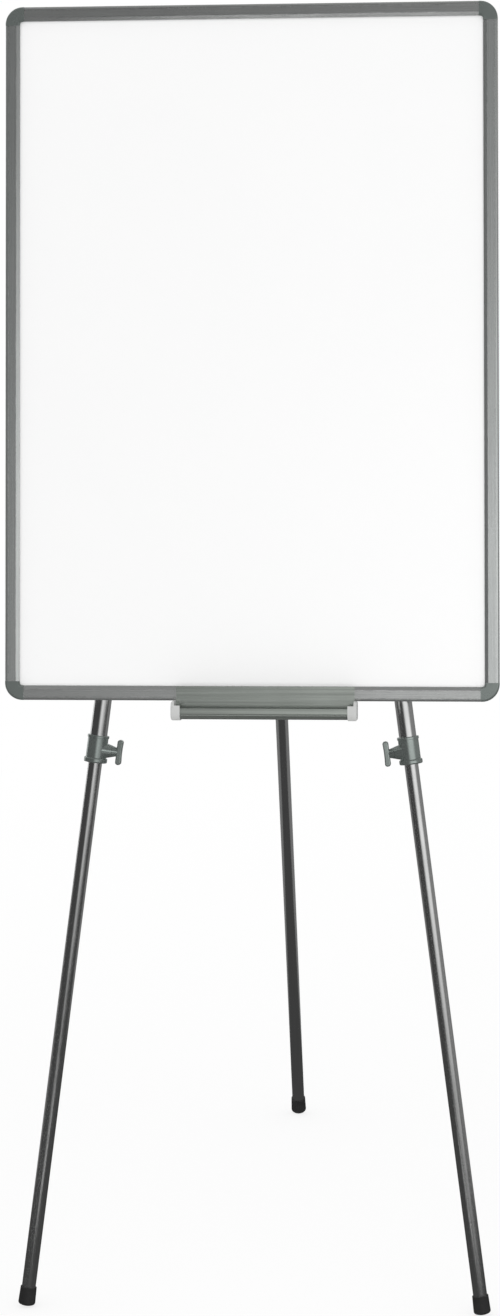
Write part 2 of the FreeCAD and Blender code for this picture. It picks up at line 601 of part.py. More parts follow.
def clamp_knob(upper_length):
    """Moulded T-handle: a waisted bar along the leg on a tapered neck."""
    z = screw_axis_z(upper_length)
    neck_end = KNOB_START + KNOB_NECK_LENGTH
    half, side = KNOB_BAR_LENGTH / 2, KNOB_BAR_W / 2
    bar_end = neck_end + KNOB_BAR_T
    low, high = z - half, z + half
    corners = [(neck_end, low, KNOB_BAR_ROUND), (bar_end, low, KNOB_BAR_ROUND)]
    corners += [(bar_end - KNOB_WAIST, z, KNOB_WAIST_ROUND)]
    corners += [(bar_end, high, KNOB_BAR_ROUND), (neck_end, high, KNOB_BAR_ROUND)]
    bar = outline(corners, section_xz(-side)).extrude(Vector(0, KNOB_BAR_W, 0))
    bar = bar.makeFillet(KNOB_ROUND, [e for e in bar.Edges if abs(abs(e.CenterOfMass.y) - side) < 1e-6])
    neck = cone(KNOB_NECK_D / 2, KNOB_NECK_TOP_D / 2, (KNOB_START, 0, z), (neck_end + KNOB_ROUND, 0, z))
    body = bar.fuse(neck)
    return body.cut(rod(STUD_D / 2, (KNOB_START, 0, z), (neck_end + STUD_IN_BAR, 0, z)))


def guide_bush(upper_length, draw):
    """Moulded bush on the top end of the thin tube, which runs in the thick one."""
    z = lower_tube_end(upper_length, draw) + LOWER_LENGTH
    head_r = UPPER_R - UPPER_WALL - SLIDE_PLAY
    spigot_r = LOWER_R - LOWER_WALL - FIT_PLAY
    body = rod(head_r, (0, 0, z), (0, 0, z + BUSH_HEAD))
    rims = [e for e in body.Edges if len(e.Vertexes) == 1]
    body = body.makeChamfer(BUSH_CHAMFER, rims)
    body = body.fuse(rod(spigot_r, (0, 0, z - BUSH_SPIGOT), (0, 0, z)))
    return body.cut(rod(spigot_r - BUSH_WALL, (0, 0, z - BUSH_SPIGOT), (0, 0, z + BUSH_HEAD)))


def foot(upper_length, draw):
    """Rubber foot with a domed sole, turned about the leg's axis."""
    tip = lower_tube_end(upper_length, draw) - FOOT_FLOOR
    sole = FOOT_R - FOOT_SOLE_IN

    def dome(radius):
        return FOOT_DOME_R - math.sqrt(FOOT_DOME_R ** 2 - radius ** 2)

    def at(radius, height):
        return Vector(radius, 0, tip + height)

    bulge = FOOT_R - FOOT_SOLE_IN * FOOT_BULGE
    bulge_height = dome(sole) + (FOOT_SIDE_START - dome(sole)) * FOOT_BULGE
    edges = [Part.Arc(at(0, 0), at(sole / 2, dome(sole / 2)), at(sole, dome(sole))).toShape(),
             Part.Arc(at(sole, dome(sole)), at(bulge, bulge_height), at(FOOT_R, FOOT_SIDE_START)).toShape()]
    path = [at(FOOT_R, FOOT_SIDE_START), at(FOOT_TOP_R, FOOT_HEIGHT - FOOT_RIM)]
    path += [at(FOOT_TOP_R - FOOT_RIM, FOOT_HEIGHT), at(FOOT_BORE_R, FOOT_HEIGHT)]
    path += [at(FOOT_BORE_R, FOOT_FLOOR), at(0, FOOT_FLOOR), at(0, 0)]
    edges += [Part.LineSegment(a, b).toShape() for a, b in zip(path, path[1:])]
    return Part.Face(Part.Wire(edges)).revolve(Vector(0, 0, 0), Z_AXIS, 360)


# Head and rear hinge

def head_socket(leg):
    """Outer form of one front leg's socket and the bore that takes the tube."""
    outer = rod(SOCKET_R, (0, 0, -SOCKET_DEPTH), (0, 0, SOCKET_CAP))
    crown = [e for e in outer.Edges if len(e.Vertexes) == 1 and e.CenterOfMass.z > 0]
    outer = outer.makeFillet(SOCKET_CAP / 2, crown)
    bore = rod(UPPER_R + FIT_PLAY, (0, 0, -2 * SOCKET_DEPTH), (0, 0, 0))
    point, direction = tube_screw()
    bore = bore.fuse(screw_hole(point, direction, SMALL_SCREW_D, SMALL_SCREW_LENGTH))
    return placed(outer, leg), placed(bore, leg)


def ear(start):
    """One ear of the hinge, from the plate to a round end about the hinge axis."""
    rounded = rod(KNUCKLE_R, (start, HINGE_Y, HINGE_Z), (start + EAR_T, HINGE_Y, HINGE_Z))
    lean = math.acos(KNUCKLE_R / math.hypot(HINGE_REACH, EAR_ROOT_HALF))
    base = math.atan2(EAR_ROOT_HALF, -HINGE_REACH)
    touch_y = HINGE_Y + KNUCKLE_R * math.cos(base - lean)
    touch_z = KNUCKLE_R * math.sin(base - lean)
    corners = [(PLATE_BACK, HINGE_Z - EAR_ROOT_HALF, 0), (touch_y, HINGE_Z - touch_z, 0)]
    corners += [(touch_y, HINGE_Z + touch_z, 0), (PLATE_BACK, HINGE_Z + EAR_ROOT_HALF, 0)]
    web = outline(corners, section_yz(start)).extrude(Vector(EAR_T, 0, 0))
    return rounded.fuse(web)


def tripod_head():
    """Moulded head: a plate on the top rail, two sockets for the front legs and two ears for the rear one."""
    low_half = HEAD_END - HEAD_ROUND
    plan = [(-low_half, HEAD_BOTTOM, HEAD_ROUND), (low_half, HEAD_BOTTOM, HEAD_ROUND)]
    plan += [(HEAD_END, HEAD_TOP, HEAD_ROUND / 2), (-HEAD_END, HEAD_TOP, HEAD_ROUND / 2)]
    body = outline(plan, section_xz(FRAME_DEPTH)).extrude(Vector(0, HEAD_PLATE, 0))
    body = body.fuse([ear(EAR_GAP), ear(-EAR_END)])
    inner, outer = EAR_END, HEAD_HALF - SOCKET_R
    rib_low, rib_back = HEAD_BOTTOM + HEAD_ROUND, PLATE_BACK + RIB_DEPTH
    for i in range(1, RIB_COUNT + 1):
        x = inner + (outer - inner) * i / (RIB_COUNT + 1)
        for side in (-1, 1):
            low, high = sorted((side * (x - RIB_T / 2), side * (x + RIB_T / 2)))
            body = body.fuse(box(low, high, PLATE_BACK, rib_back, rib_low, LEG_TOP))
    sockets = [head_socket(leg) for leg in (LEFT_LEG_ON_BOARD, RIGHT_LEG_ON_BOARD)]
    body = body.fuse([outer_form for outer_form, bore in sockets])
    for outer_form, bore in sockets:
        body = body.cut(bore)
    body = body.cut(rod(PIN_D / 2 + PIN_PLAY, (-EAR_END, HINGE_Y, HINGE_Z), (EAR_END, HINGE_Y, HINGE_Z)))
    for x in HEAD_SCREWS:
        body = body.cut(screw_hole(head_screw_point(x), (0, -1, 0), SCREW_D, HEAD_PLATE))
    return body.removeSplitter()


def head_screw_point(x):
    """Where a screw of the head enters the plate."""
    return (x, PLATE_BACK, BOARD_H - RAIL_SCREW_IN)


def knuckle():
    """Moulded knuckle of the rear leg in the hinge's frame: a barrel, a socket and a stop above the axis."""
    half = KNUCKLE_W / 2
    end = -HINGE_DROP - KNUCKLE_SOCKET
    body = rod(KNUCKLE_R, (-half, 0, 0), (half, 0, 0))
    body = body.fuse(rod(SOCKET_R, (0, 0, end), (0, 0, -KNUCKLE_R)))
    body = body.fuse(box(-half, half, -KNUCKLE_R, KNUCKLE_R, -HINGE_DROP, 0))
    stop = box(-half, half, STOP_GAP - HINGE_REACH, STOP_BACK, 0, STOP_TOP)
    stop = stop.makeFillet(STOP_BACK / 2, [e for e in stop.Edges if abs(e.CenterOfMass.z - STOP_TOP) < 1e-6
                                           and abs(e.CenterOfMass.x) < 1e-6])
    body = body.fuse(placed(stop, turned(X_AXIS, -OPENING)))
    body = body.common(box(-half, half, -2 * HINGE_REACH, 2 * HINGE_REACH, end, 2 * STOP_TOP))
    body = body.cut(rod(UPPER_R + FIT_PLAY, (0, 0, end), (0, 0, -HINGE_DROP)))
    body = body.cut(rod(PIN_D / 2 + PIN_PLAY, (-half, 0, 0), (half, 0, 0)))
    point, direction = knuckle_screw()
    return body.cut(screw_hole(point, direction, SMALL_SCREW_D, SMALL_SCREW_LENGTH))


def knuckle_screw():
    """Where the screw that holds the rear tube enters the knuckle, in the hinge's frame."""
    point, direction = tube_screw()
    return (point[0], point[1], point[2] - HINGE_DROP), direction


def hinge_bolt():
    """Bolt through the ears and the knuckle."""
    start = -EAR_END - PIN_HEAD_H
    shank = rod(PIN_D / 2, (-EAR_END, HINGE_Y, HINGE_Z), (EAR_END + NUT_H, HINGE_Y, HINGE_Z))
    head = rod(PIN_HEAD_D / 2, (start, HINGE_Y, HINGE_Z), (-EAR_END, HINGE_Y, HINGE_Z))
    rim = [e for e in head.Edges if len(e.Vertexes) == 1 and e.CenterOfMass.x < start + 1e-6]
    return shank.fuse(head.makeFillet(PIN_HEAD_H / 2, rim))


def hinge_nut():
    """Six-sided nut on the end of the hinge bolt."""
    end = EAR_END + NUT_H
    corners = []
    for i in range(6):
        turn = math.radians(60 * i)
        corners.append((HINGE_Y + NUT_D / 2 * math.cos(turn), HINGE_Z + NUT_D / 2 * math.sin(turn), 0))
    body = outline(corners, section_yz(EAR_END)).extrude(Vector(NUT_H, 0, 0))
    return body.cut(rod(PIN_D / 2 + PIN_PLAY, (EAR_END, HINGE_Y, HINGE_Z), (end, HINGE_Y, HINGE_Z)))


# Saddles on the bottom rail

def saddle_screw_points():
    """Where the screws of both saddles enter them."""
    return [(side * (SADDLE_X + step), FRAME_DEPTH + SADDLE_PLATE, RAIL_SCREW_IN)
            for side in (-1, 1) for step in (-SADDLE_SCREW_HALF, SADDLE_SCREW_HALF)]


def saddle(side, leg):
    """Moulded saddle that holds one front tube to the back of the bottom rail."""
    middle = side * SADDLE_X
    low, high = SADDLE_Z - SADDLE_H / 2, SADDLE_Z + SADDLE_H / 2
    left, right = middle - SADDLE_W / 2, middle + SADDLE_W / 2
    plan = [(left, low, SADDLE_ROUND), (right, low, SADDLE_ROUND)]
    plan += [(right, high, SADDLE_ROUND), (left, high, SADDLE_ROUND)]
    body = outline(plan, section_xz(FRAME_DEPTH)).extrude(Vector(0, SADDLE_PLATE, 0))
    along = (LEG_TOP - SADDLE_Z) / math.cos(SPLAY_RAD)
    ring_r = UPPER_R + FIT_PLAY + SADDLE_WALL
    ring = rod(ring_r, (0, 0, -along - SADDLE_H), (0, 0, -along + SADDLE_H))
    inside_plate = FRAME_DEPTH + SADDLE_PLATE / 2
    ring = placed(ring, leg).common(box(left, right, inside_plate, LEG_Y + ring_r, low, high))
    bore = rod(UPPER_R + FIT_PLAY, (0, 0, -along - SADDLE_H), (0, 0, -along + SADDLE_H))
    body = body.fuse(ring).cut(placed(bore, leg))
    for point in saddle_screw_points():
        if point[0] * side > 0:
            body = body.cut(screw_hole(point, (0, -1, 0), SCREW_D, SADDLE_PLATE))
    return body


def save_board():
    """Panel, frame, corners and their screws."""
    save("writing_sheet", panel_layer(FRONT_LIP, SHEET_T), BOARD)
    save("core_panel", panel_layer(FRONT_LIP + SHEET_T, CORE_T), BOARD)
    save("back_sheet", panel_layer(FRONT_LIP + SHEET_T + CORE_T, BACK_T), BOARD)
    wide, tall = BOARD_W - 2 * CORNER_LEG, BOARD_H - 2 * CORNER_LEG
    saddle_holes = [point[0] for point in saddle_screw_points()]
    rails = {"top": drilled_rail(wide, HEAD_SCREWS), "bottom": drilled_rail(wide, saddle_holes),
             "left": drilled_rail(tall, ()), "right": drilled_rail(tall, ())}
    screws = []
    for side, body in rails.items():
        at = edge_placement(side)
        save("frame_" + side + "_rail", body, BOARD.multiply(at))
        length = wide if side in ("top", "bottom") else tall
        screws += [placed(small_screw(point, (0, -1, 0)), at) for point in corner_screw_points(length)]
    for node, body in corner_placements().items():
        save(node, body, BOARD)
    save("corner_screws", Part.makeCompound(screws), BOARD)


def save_tray():
    """Pen tray and its end caps."""
    at = BOARD.multiply(moved(TRAY_OFFSET, -TRAY_PLAY, 0))
    save("pen_tray", tray(), at)
    cap = tray_cap()
    save("tray_end_cap_right", cap, at)
    save("tray_end_cap_left", cap.mirror(Vector(0, 0, 0), X_AXIS), at)


def save_head():
    """Head, saddles, rear hinge and their screws."""
    save("tripod_head", tripod_head(), BOARD)
    head_screws = [large_screw(head_screw_point(x), (0, -1, 0)) for x in HEAD_SCREWS]
    save("head_screws", Part.makeCompound(head_screws), BOARD)
    save("hinge_bolt", hinge_bolt(), BOARD)
    save("hinge_nut", hinge_nut(), BOARD)
    save("left_leg_saddle", saddle(-1, LEFT_LEG_ON_BOARD), BOARD)
    save("right_leg_saddle", saddle(1, RIGHT_LEG_ON_BOARD), BOARD)
    saddle_screws = [large_screw(point, (0, -1, 0)) for point in saddle_screw_points()]
    save("saddle_screws", Part.makeCompound(saddle_screws), BOARD)
    socket_screw = small_screw(*tube_screw())
    in_sockets = [placed(socket_screw, leg) for leg in (LEFT_LEG_ON_BOARD, RIGHT_LEG_ON_BOARD)]
    save("leg_socket_screws", Part.makeCompound(in_sockets), BOARD)
    save("rear_hinge_knuckle", knuckle(), REAR_HINGE)
    save("rear_knuckle_screw", small_screw(*knuckle_screw()), REAR_HINGE)


def save_leg(side, leg, clamp_turn, upper_length, draw):
    """All pieces of one leg."""
    clamp = leg.multiply(turned(Z_AXIS, clamp_turn))
    save(side + "_upper_tube", upper_tube(upper_length), leg)
    save(side + "_clamp_collar", collar(upper_length), clamp)
    save(side + "_thread_insert", thread_insert(upper_length), clamp)
    save(side + "_clamp_screw", clamp_screw(upper_length), clamp)
    save(side + "_clamp_knob", clamp_knob(upper_length), clamp)
    save(side + "_lower_tube", lower_tube(upper_length, draw), leg)
    save(side + "_guide_bush", guide_bush(upper_length, draw), leg)
    save(side + "_foot", foot(upper_length, draw), leg)


def main():
    os.makedirs(OUT, exist_ok=True)
    save_board()
    save_tray()
    save_head()
    save_leg("left", LEFT_LEG, LEFT_CLAMP_TURN, UPPER_LENGTH, FRONT_DRAW)
    save_leg("right", RIGHT_LEG, RIGHT_CLAMP_TURN, UPPER_LENGTH, FRONT_DRAW)
    save_leg("rear", REAR_LEG, REAR_CLAMP_TURN, REAR_UPPER_LENGTH, REAR_DRAW)


main()
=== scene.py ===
# %% [markdown]
# # A whiteboard on a folding tripod
# The real object is a portrait dry-wipe board in an anodised frame. It leans on a tripod whose three legs are
# telescopic tubes, each held by a moulded collar with a T-handled screw. The shapes come from a CAD model
# that stays where it is, so this lesson is about dressing ready-made solids: one finish for each material,
# the crosses in the small screws, soft light, and a camera that stands where the picture was taken.
#
# The first cell loads the CAD model and keeps its box, because the dressed model must stay inside it.

# %% Load the CAD model as a fixed frame
import json
import math

import bmesh
import bpy
from mathutils import Matrix, Vector

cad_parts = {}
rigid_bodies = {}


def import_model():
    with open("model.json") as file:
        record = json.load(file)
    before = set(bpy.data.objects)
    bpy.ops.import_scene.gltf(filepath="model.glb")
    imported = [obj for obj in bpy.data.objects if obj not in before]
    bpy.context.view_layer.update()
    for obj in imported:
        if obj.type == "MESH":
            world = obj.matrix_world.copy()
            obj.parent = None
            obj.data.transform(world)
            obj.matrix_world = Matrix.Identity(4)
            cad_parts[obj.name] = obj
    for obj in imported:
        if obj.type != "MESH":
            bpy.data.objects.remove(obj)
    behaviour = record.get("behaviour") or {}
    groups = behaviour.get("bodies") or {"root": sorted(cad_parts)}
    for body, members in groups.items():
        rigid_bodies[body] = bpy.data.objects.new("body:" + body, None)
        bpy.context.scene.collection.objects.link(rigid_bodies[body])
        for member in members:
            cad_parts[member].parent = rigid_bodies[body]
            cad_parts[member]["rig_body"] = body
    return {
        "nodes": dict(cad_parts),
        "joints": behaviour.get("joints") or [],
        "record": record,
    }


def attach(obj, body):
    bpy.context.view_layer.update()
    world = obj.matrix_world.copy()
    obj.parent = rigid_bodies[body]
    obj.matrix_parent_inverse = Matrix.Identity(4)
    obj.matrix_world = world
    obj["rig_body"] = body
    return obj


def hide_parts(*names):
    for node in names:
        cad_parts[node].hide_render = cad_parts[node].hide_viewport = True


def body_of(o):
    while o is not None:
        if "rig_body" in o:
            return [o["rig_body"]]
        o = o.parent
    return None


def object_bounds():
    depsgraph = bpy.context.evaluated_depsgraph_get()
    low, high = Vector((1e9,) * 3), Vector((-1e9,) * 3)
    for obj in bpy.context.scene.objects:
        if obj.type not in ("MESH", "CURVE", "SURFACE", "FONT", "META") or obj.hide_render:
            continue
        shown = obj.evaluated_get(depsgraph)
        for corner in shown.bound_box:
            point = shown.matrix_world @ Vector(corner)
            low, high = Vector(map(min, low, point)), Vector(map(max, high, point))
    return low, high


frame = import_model()
CAD_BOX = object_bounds()

# %% [markdown]
# Many finishes follow a direction on the object: extruded rails have lines along their length, and drawn
# tubes have lines along their axis. Typing such directions in by hand would break when the model changes, so
# they are read from the record instead. The mount on the top rail points up the board, and each leg's slide
# points up that leg.

# %% Read the object's own directions
ACROSS = Vector((1, 0, 0))
BOARD_UP = Vector(frame["record"]["mounts"][0]["axis"]).normalized()
BOARD_BACK = BOARD_UP.cross(ACROSS)
LEG_UP = {joint["child"].replace("_lower_leg", ""): Vector(joint["axis"]).normalized()
          for joint in frame["joints"] if joint["name"].endswith("_leg_slide")}
print("board leans", round(math.degrees(math.acos(BOARD_UP.z)), 2), "degrees; legs:", sorted(LEG_UP))

# %% [markdown]
# A finish is a small tree of shader nodes. It could be wired by hand in the shader editor, but a script can
# be read and changed line by line. A few helpers keep the cells below short: they add a node with its values,
# link two sockets, mix a second colour over a first where a mask says so, and write a tinted grey. A mix of
# two colours has its sockets at fixed places, because the same node can also mix numbers and vectors.

# %% Helpers for shader nodes
MIX_FACTOR, MIX_UNDER, MIX_OVER, MIX_RESULT = 0, 6, 7, 2


def add_node(tree, kind, name, values=None, **settings):
    """Adds one named node, with its settings and the values of its inputs."""
    node = tree.nodes.new(kind)
    node.name = node.label = name
    for setting, value in settings.items():
        setattr(node, setting, value)
    for socket, value in (values or {}).items():
        node.inputs[socket].default_value = value
    return node


def link(tree, output, target):
    """Links an output of one node to an input of another."""
    tree.links.new(output, target)


def set_or_link(tree, source, target):
    """A source is either a socket, which is linked, or a plain value, which is set."""
    if isinstance(source, bpy.types.NodeSocket):
        link(tree, source, target)
    else:
        target.default_value = source


def layer(tree, name, mask, under, over):
    """Puts one colour over another where the mask is bright, and returns the mixed colour."""
    mix = add_node(tree, "ShaderNodeMix", name, data_type="RGBA")
    set_or_link(tree, mask, mix.inputs[MIX_FACTOR])
    set_or_link(tree, under, mix.inputs[MIX_UNDER])
    set_or_link(tree, over, mix.inputs[MIX_OVER])
    return mix.outputs[MIX_RESULT]


def grey(value, tint=(1.0, 1.0, 1.0)):
    """A linear colour: one brightness with a slight tint."""
    return (value * tint[0], value * tint[1], value * tint[2], 1.0)


print("node helpers ready")

# %% [markdown]
# Effects that several finishes share could be copied from one material to the next. They become node groups
# instead, with named inputs and outputs, so that each material places the same group with its own values, and
# a better recipe reaches them all. These helpers make an empty group with its sockets, and place a group.

# %% Helpers for shared effects
def new_group(name, inputs, outputs):
    """Makes a shader node group from a list of (name, socket type, default value) and a list of outputs."""
    group = bpy.data.node_groups.new(name, "ShaderNodeTree")
    for label, kind, value in inputs:
        socket = group.interface.new_socket(label, in_out="INPUT", socket_type=kind)
        socket.default_value = value
    for label in outputs:
        group.interface.new_socket(label, in_out="OUTPUT", socket_type="NodeSocketFloat")
    entry = add_node(group, "NodeGroupInput", "in")
    way_out = add_node(group, "NodeGroupOutput", "out")
    return group, entry, way_out


def use_group(tree, group, values):
    """Places a group in a material with this material's own values."""
    return add_node(tree, "ShaderNodeGroup", group.name, values, node_tree=group)


print("group helpers ready")

# %% [markdown]
# **Drawn lines.** Aluminium pressed through a die and tube pulled through a ring both carry faint lines along
# their length. A picture of brushed metal would need every piece unwrapped. A noise texture needs no
# unwrapping, and gives lines when space is stretched: the group splits a point into the part along the piece
# and the part across it, and lets the noise change quickly across and hardly at all along.

# %% Group: drawn lines
LINE_STRETCH = 0.006

drawn_lines, entry, way_out = new_group(
    "drawn lines",
    [("Along", "NodeSocketVector", (0, 0, 1)), ("Lines per Metre", "NodeSocketFloat", 900.0)],
    ["Lines"])
spot = add_node(drawn_lines, "ShaderNodeTexCoord", "place on the piece")
reach = add_node(drawn_lines, "ShaderNodeVectorMath", "distance along", operation="DOT_PRODUCT")
along = add_node(drawn_lines, "ShaderNodeVectorMath", "part along", operation="SCALE")
across = add_node(drawn_lines, "ShaderNodeVectorMath", "part across", operation="SUBTRACT")
slow = add_node(drawn_lines, "ShaderNodeVectorMath", "slow along", {"Scale": LINE_STRETCH}, operation="SCALE")
stretched = add_node(drawn_lines, "ShaderNodeVectorMath", "stretched space", operation="ADD")
streaks = add_node(drawn_lines, "ShaderNodeTexNoise", "streaks", {"Detail": 4.0, "Roughness": 0.62})
contrast = add_node(drawn_lines, "ShaderNodeMapRange", "contrast", {"From Min": 0.28, "From Max": 0.72})
link(drawn_lines, spot.outputs["Object"], reach.inputs[0])
link(drawn_lines, entry.outputs["Along"], reach.inputs[1])
link(drawn_lines, entry.outputs["Along"], along.inputs[0])
link(drawn_lines, reach.outputs["Value"], along.inputs["Scale"])
link(drawn_lines, spot.outputs["Object"], across.inputs[0])
link(drawn_lines, along.outputs["Vector"], across.inputs[1])
link(drawn_lines, along.outputs["Vector"], slow.inputs[0])
link(drawn_lines, across.outputs["Vector"], stretched.inputs[0])
link(drawn_lines, slow.outputs["Vector"], stretched.inputs[1])
link(drawn_lines, stretched.outputs["Vector"], streaks.inputs["Vector"])
link(drawn_lines, entry.outputs["Lines per Metre"], streaks.inputs["Scale"])
link(drawn_lines, streaks.outputs["Fac"], contrast.inputs["Value"])
link(drawn_lines, contrast.outputs["Result"], way_out.inputs["Lines"])
print("group:", drawn_lines.name, "nodes:", len(drawn_lines.nodes))

# %% [markdown]
# **Moulded grain.** Grey mouldings come out of a spark-eroded tool, so their skin is a fine matt grain, and
# the plastic's colour drifts a little where it flowed. One noise could do both, but the two differ far too
# much in size. So the group puts out two: a fine height for the bump, and a broad tone for the colour.

# %% Group: moulded grain
FLOW_PER_METRE = 22.0

moulded_grain, entry, way_out = new_group(
    "moulded grain", [("Grain per Metre", "NodeSocketFloat", 1400.0)], ["Grain", "Flow"])
spot = add_node(moulded_grain, "ShaderNodeTexCoord", "place on the piece")
pits = add_node(moulded_grain, "ShaderNodeTexNoise", "pits", {"Detail": 3.0, "Roughness": 0.7})
flow = add_node(moulded_grain, "ShaderNodeTexNoise", "flow",
                {"Scale": FLOW_PER_METRE, "Detail": 5.0, "Roughness": 0.6, "Distortion": 0.7})
spread = add_node(moulded_grain, "ShaderNodeMapRange", "spread", {"From Min": 0.3, "From Max": 0.7})
link(moulded_grain, spot.outputs["Object"], pits.inputs["Vector"])
link(moulded_grain, entry.outputs["Grain per Metre"], pits.inputs["Scale"])
link(moulded_grain, spot.outputs["Object"], flow.inputs["Vector"])
link(moulded_grain, flow.outputs["Fac"], spread.inputs["Value"])
link(moulded_grain, pits.outputs["Fac"], way_out.inputs["Grain"])
link(moulded_grain, spread.outputs["Result"], way_out.inputs["Flow"])
print("group:", moulded_grain.name, "nodes:", len(moulded_grain.nodes))

# %% [markdown]
# **Worn edges.** Hands and floors polish the corners of a piece first. They could be painted by hand, edge by
# edge. A Bevel node finds them by itself: it gives the normal that a rounded edge would have, and where that
# differs from the true normal there is an edge. Noise breaks the wear up, so that it doesn't look like a
# drawn outline.

# %% Group: worn edges
worn_edges, entry, way_out = new_group(
    "worn edges",
    [("Width", "NodeSocketFloat", 0.0012), ("Patches per Metre", "NodeSocketFloat", 160.0)],
    ["Wear"])
rounded = add_node(worn_edges, "ShaderNodeBevel", "rounded normal", samples=6)
shape = add_node(worn_edges, "ShaderNodeNewGeometry", "shape")
agree = add_node(worn_edges, "ShaderNodeVectorMath", "do they agree", operation="DOT_PRODUCT")
edge = add_node(worn_edges, "ShaderNodeMapRange", "edge", {"From Min": 0.995, "From Max": 0.86})
spot = add_node(worn_edges, "ShaderNodeTexCoord", "place on the piece")
patches = add_node(worn_edges, "ShaderNodeTexNoise", "patches", {"Detail": 4.0, "Roughness": 0.65})
broken = add_node(worn_edges, "ShaderNodeMapRange", "broken up", {"From Min": 0.38, "From Max": 0.62})
both = add_node(worn_edges, "ShaderNodeMath", "worn edge", operation="MULTIPLY")
link(worn_edges, entry.outputs["Width"], rounded.inputs["Radius"])
link(worn_edges, rounded.outputs["Normal"], agree.inputs[0])
link(worn_edges, shape.outputs["Normal"], agree.inputs[1])
link(worn_edges, agree.outputs["Value"], edge.inputs["Value"])
link(worn_edges, spot.outputs["Object"], patches.inputs["Vector"])
link(worn_edges, entry.outputs["Patches per Metre"], patches.inputs["Scale"])
link(worn_edges, patches.outputs["Fac"], broken.inputs["Value"])
link(worn_edges, edge.outputs["Result"], both.inputs[0])
link(worn_edges, broken.outputs["Result"], both.inputs[1])
link(worn_edges, both.outputs["Value"], way_out.inputs["Wear"])
print("group:", worn_edges.name, "nodes:", len(worn_edges.nodes))

# %% [markdown]
# **Handling.** No surface in use is equally shiny all over: wiping and touching leave broad, soft patches.
# One roughness for a whole piece is the quick way, and it is what makes a model look new and false. The group
# turns a slow noise into a roughness between two values, so a material only says its shiniest and its dullest
# state.

# %% Group: handling
handling, entry, way_out = new_group(
    "handling",
    [("Patches per Metre", "NodeSocketFloat", 9.0), ("Shiniest", "NodeSocketFloat", 0.2),
     ("Dullest", "NodeSocketFloat", 0.3)],
    ["Roughness"])
spot = add_node(handling, "ShaderNodeTexCoord", "place on the piece")
touch = add_node(handling, "ShaderNodeTexNoise", "touch",
                 {"Detail": 6.0, "Roughness": 0.58, "Distortion": 0.4})
between = add_node(handling, "ShaderNodeMapRange", "between the two", {"From Min": 0.3, "From Max": 0.7})
link(handling, spot.outputs["Object"], touch.inputs["Vector"])
link(handling, entry.outputs["Patches per Metre"], touch.inputs["Scale"])
link(handling, touch.outputs["Fac"], between.inputs["Value"])
link(handling, entry.outputs["Shiniest"], between.inputs["To Min"])
link(handling, entry.outputs["Dullest"], between.inputs["To Max"])
link(handling, between.outputs["Result"], way_out.inputs["Roughness"])
print("group:", handling.name, "nodes:", len(handling.nodes))

# %% [markdown]
# **Settled dust.** Dust lies only on what faces up. It could be modelled as specks, but from a step away only
# its tone counts. So the group reads the upward part of the normal and breaks it up with noise. It is kept
# faint, since this stand is in use and not in storage.

# %% Group: settled dust
SPECKS_PER_METRE = 260.0

settled_dust, entry, way_out = new_group("settled dust", [("Amount", "NodeSocketFloat", 0.25)], ["Dust"])
shape = add_node(settled_dust, "ShaderNodeNewGeometry", "shape")
parts = add_node(settled_dust, "ShaderNodeSeparateXYZ", "parts of the normal")
level = add_node(settled_dust, "ShaderNodeMapRange", "faces up", {"From Min": 0.55, "From Max": 0.98})
spot = add_node(settled_dust, "ShaderNodeTexCoord", "place on the piece")
specks = add_node(settled_dust, "ShaderNodeTexNoise", "specks",
                  {"Scale": SPECKS_PER_METRE, "Detail": 5.0, "Roughness": 0.7})
sparse = add_node(settled_dust, "ShaderNodeMapRange", "sparse", {"From Min": 0.4, "From Max": 0.68})
lying = add_node(settled_dust, "ShaderNodeMath", "lying dust", operation="MULTIPLY")
faint = add_node(settled_dust, "ShaderNodeMath", "faint dust", operation="MULTIPLY")
link(settled_dust, shape.outputs["Normal"], parts.inputs["Vector"])
link(settled_dust, parts.outputs["Z"], level.inputs["Value"])
link(settled_dust, spot.outputs["Object"], specks.inputs["Vector"])
link(settled_dust, specks.outputs["Fac"], sparse.inputs["Value"])
link(settled_dust, level.outputs["Result"], lying.inputs[0])
link(settled_dust, sparse.outputs["Result"], lying.inputs[1])
link(settled_dust, lying.outputs["Value"], faint.inputs[0])
link(settled_dust, entry.outputs["Amount"], faint.inputs[1])
link(settled_dust, faint.outputs["Value"], way_out.inputs["Dust"])
print("group:", settled_dust.name, "nodes:", len(settled_dust.nodes))

# %% [markdown]
# Every finish starts in the same way, from a new material with a Principled BSDF. Constant properties such as
# metalness are set on the shader itself, and only what changes over the surface is linked. The helper for
# dressing gives a finish to CAD nodes by name, through their material slots, and leaves their meshes alone.

# %% Helpers for finishes
DUST_COLOUR = grey(0.42, (1.0, 0.98, 0.94))


def start_finish(name, **constants):
    """A new material, its node tree and its shader, with the constants set on the shader's own sockets."""
    material = bpy.data.materials.new(name)
    material.use_nodes = True
    tree = material.node_tree
    shader = tree.nodes["Principled BSDF"]
    for socket, value in constants.items():
        shader.inputs[socket.replace("_", " ").title().replace("Ior", "IOR")].default_value = value
    return material, tree, shader


def bump_from(tree, shader, height, distance):
    """Lets a height from 0 to 1, which stands for a distance in metres, shape the shader's normal."""
    bump = add_node(tree, "ShaderNodeBump", "bump", {"Strength": 1.0, "Distance": distance})
    link(tree, height, bump.inputs["Height"])
    link(tree, bump.outputs["Normal"], shader.inputs["Normal"])


def dress(material, *nodes):
    """Gives the finish to CAD nodes, through their material slots."""
    for node in nodes:
        for slot in frame["nodes"][node].material_slots:
            slot.material = material
    print("dressed in", material.name + ":", ", ".join(nodes))


print("finish helpers ready")

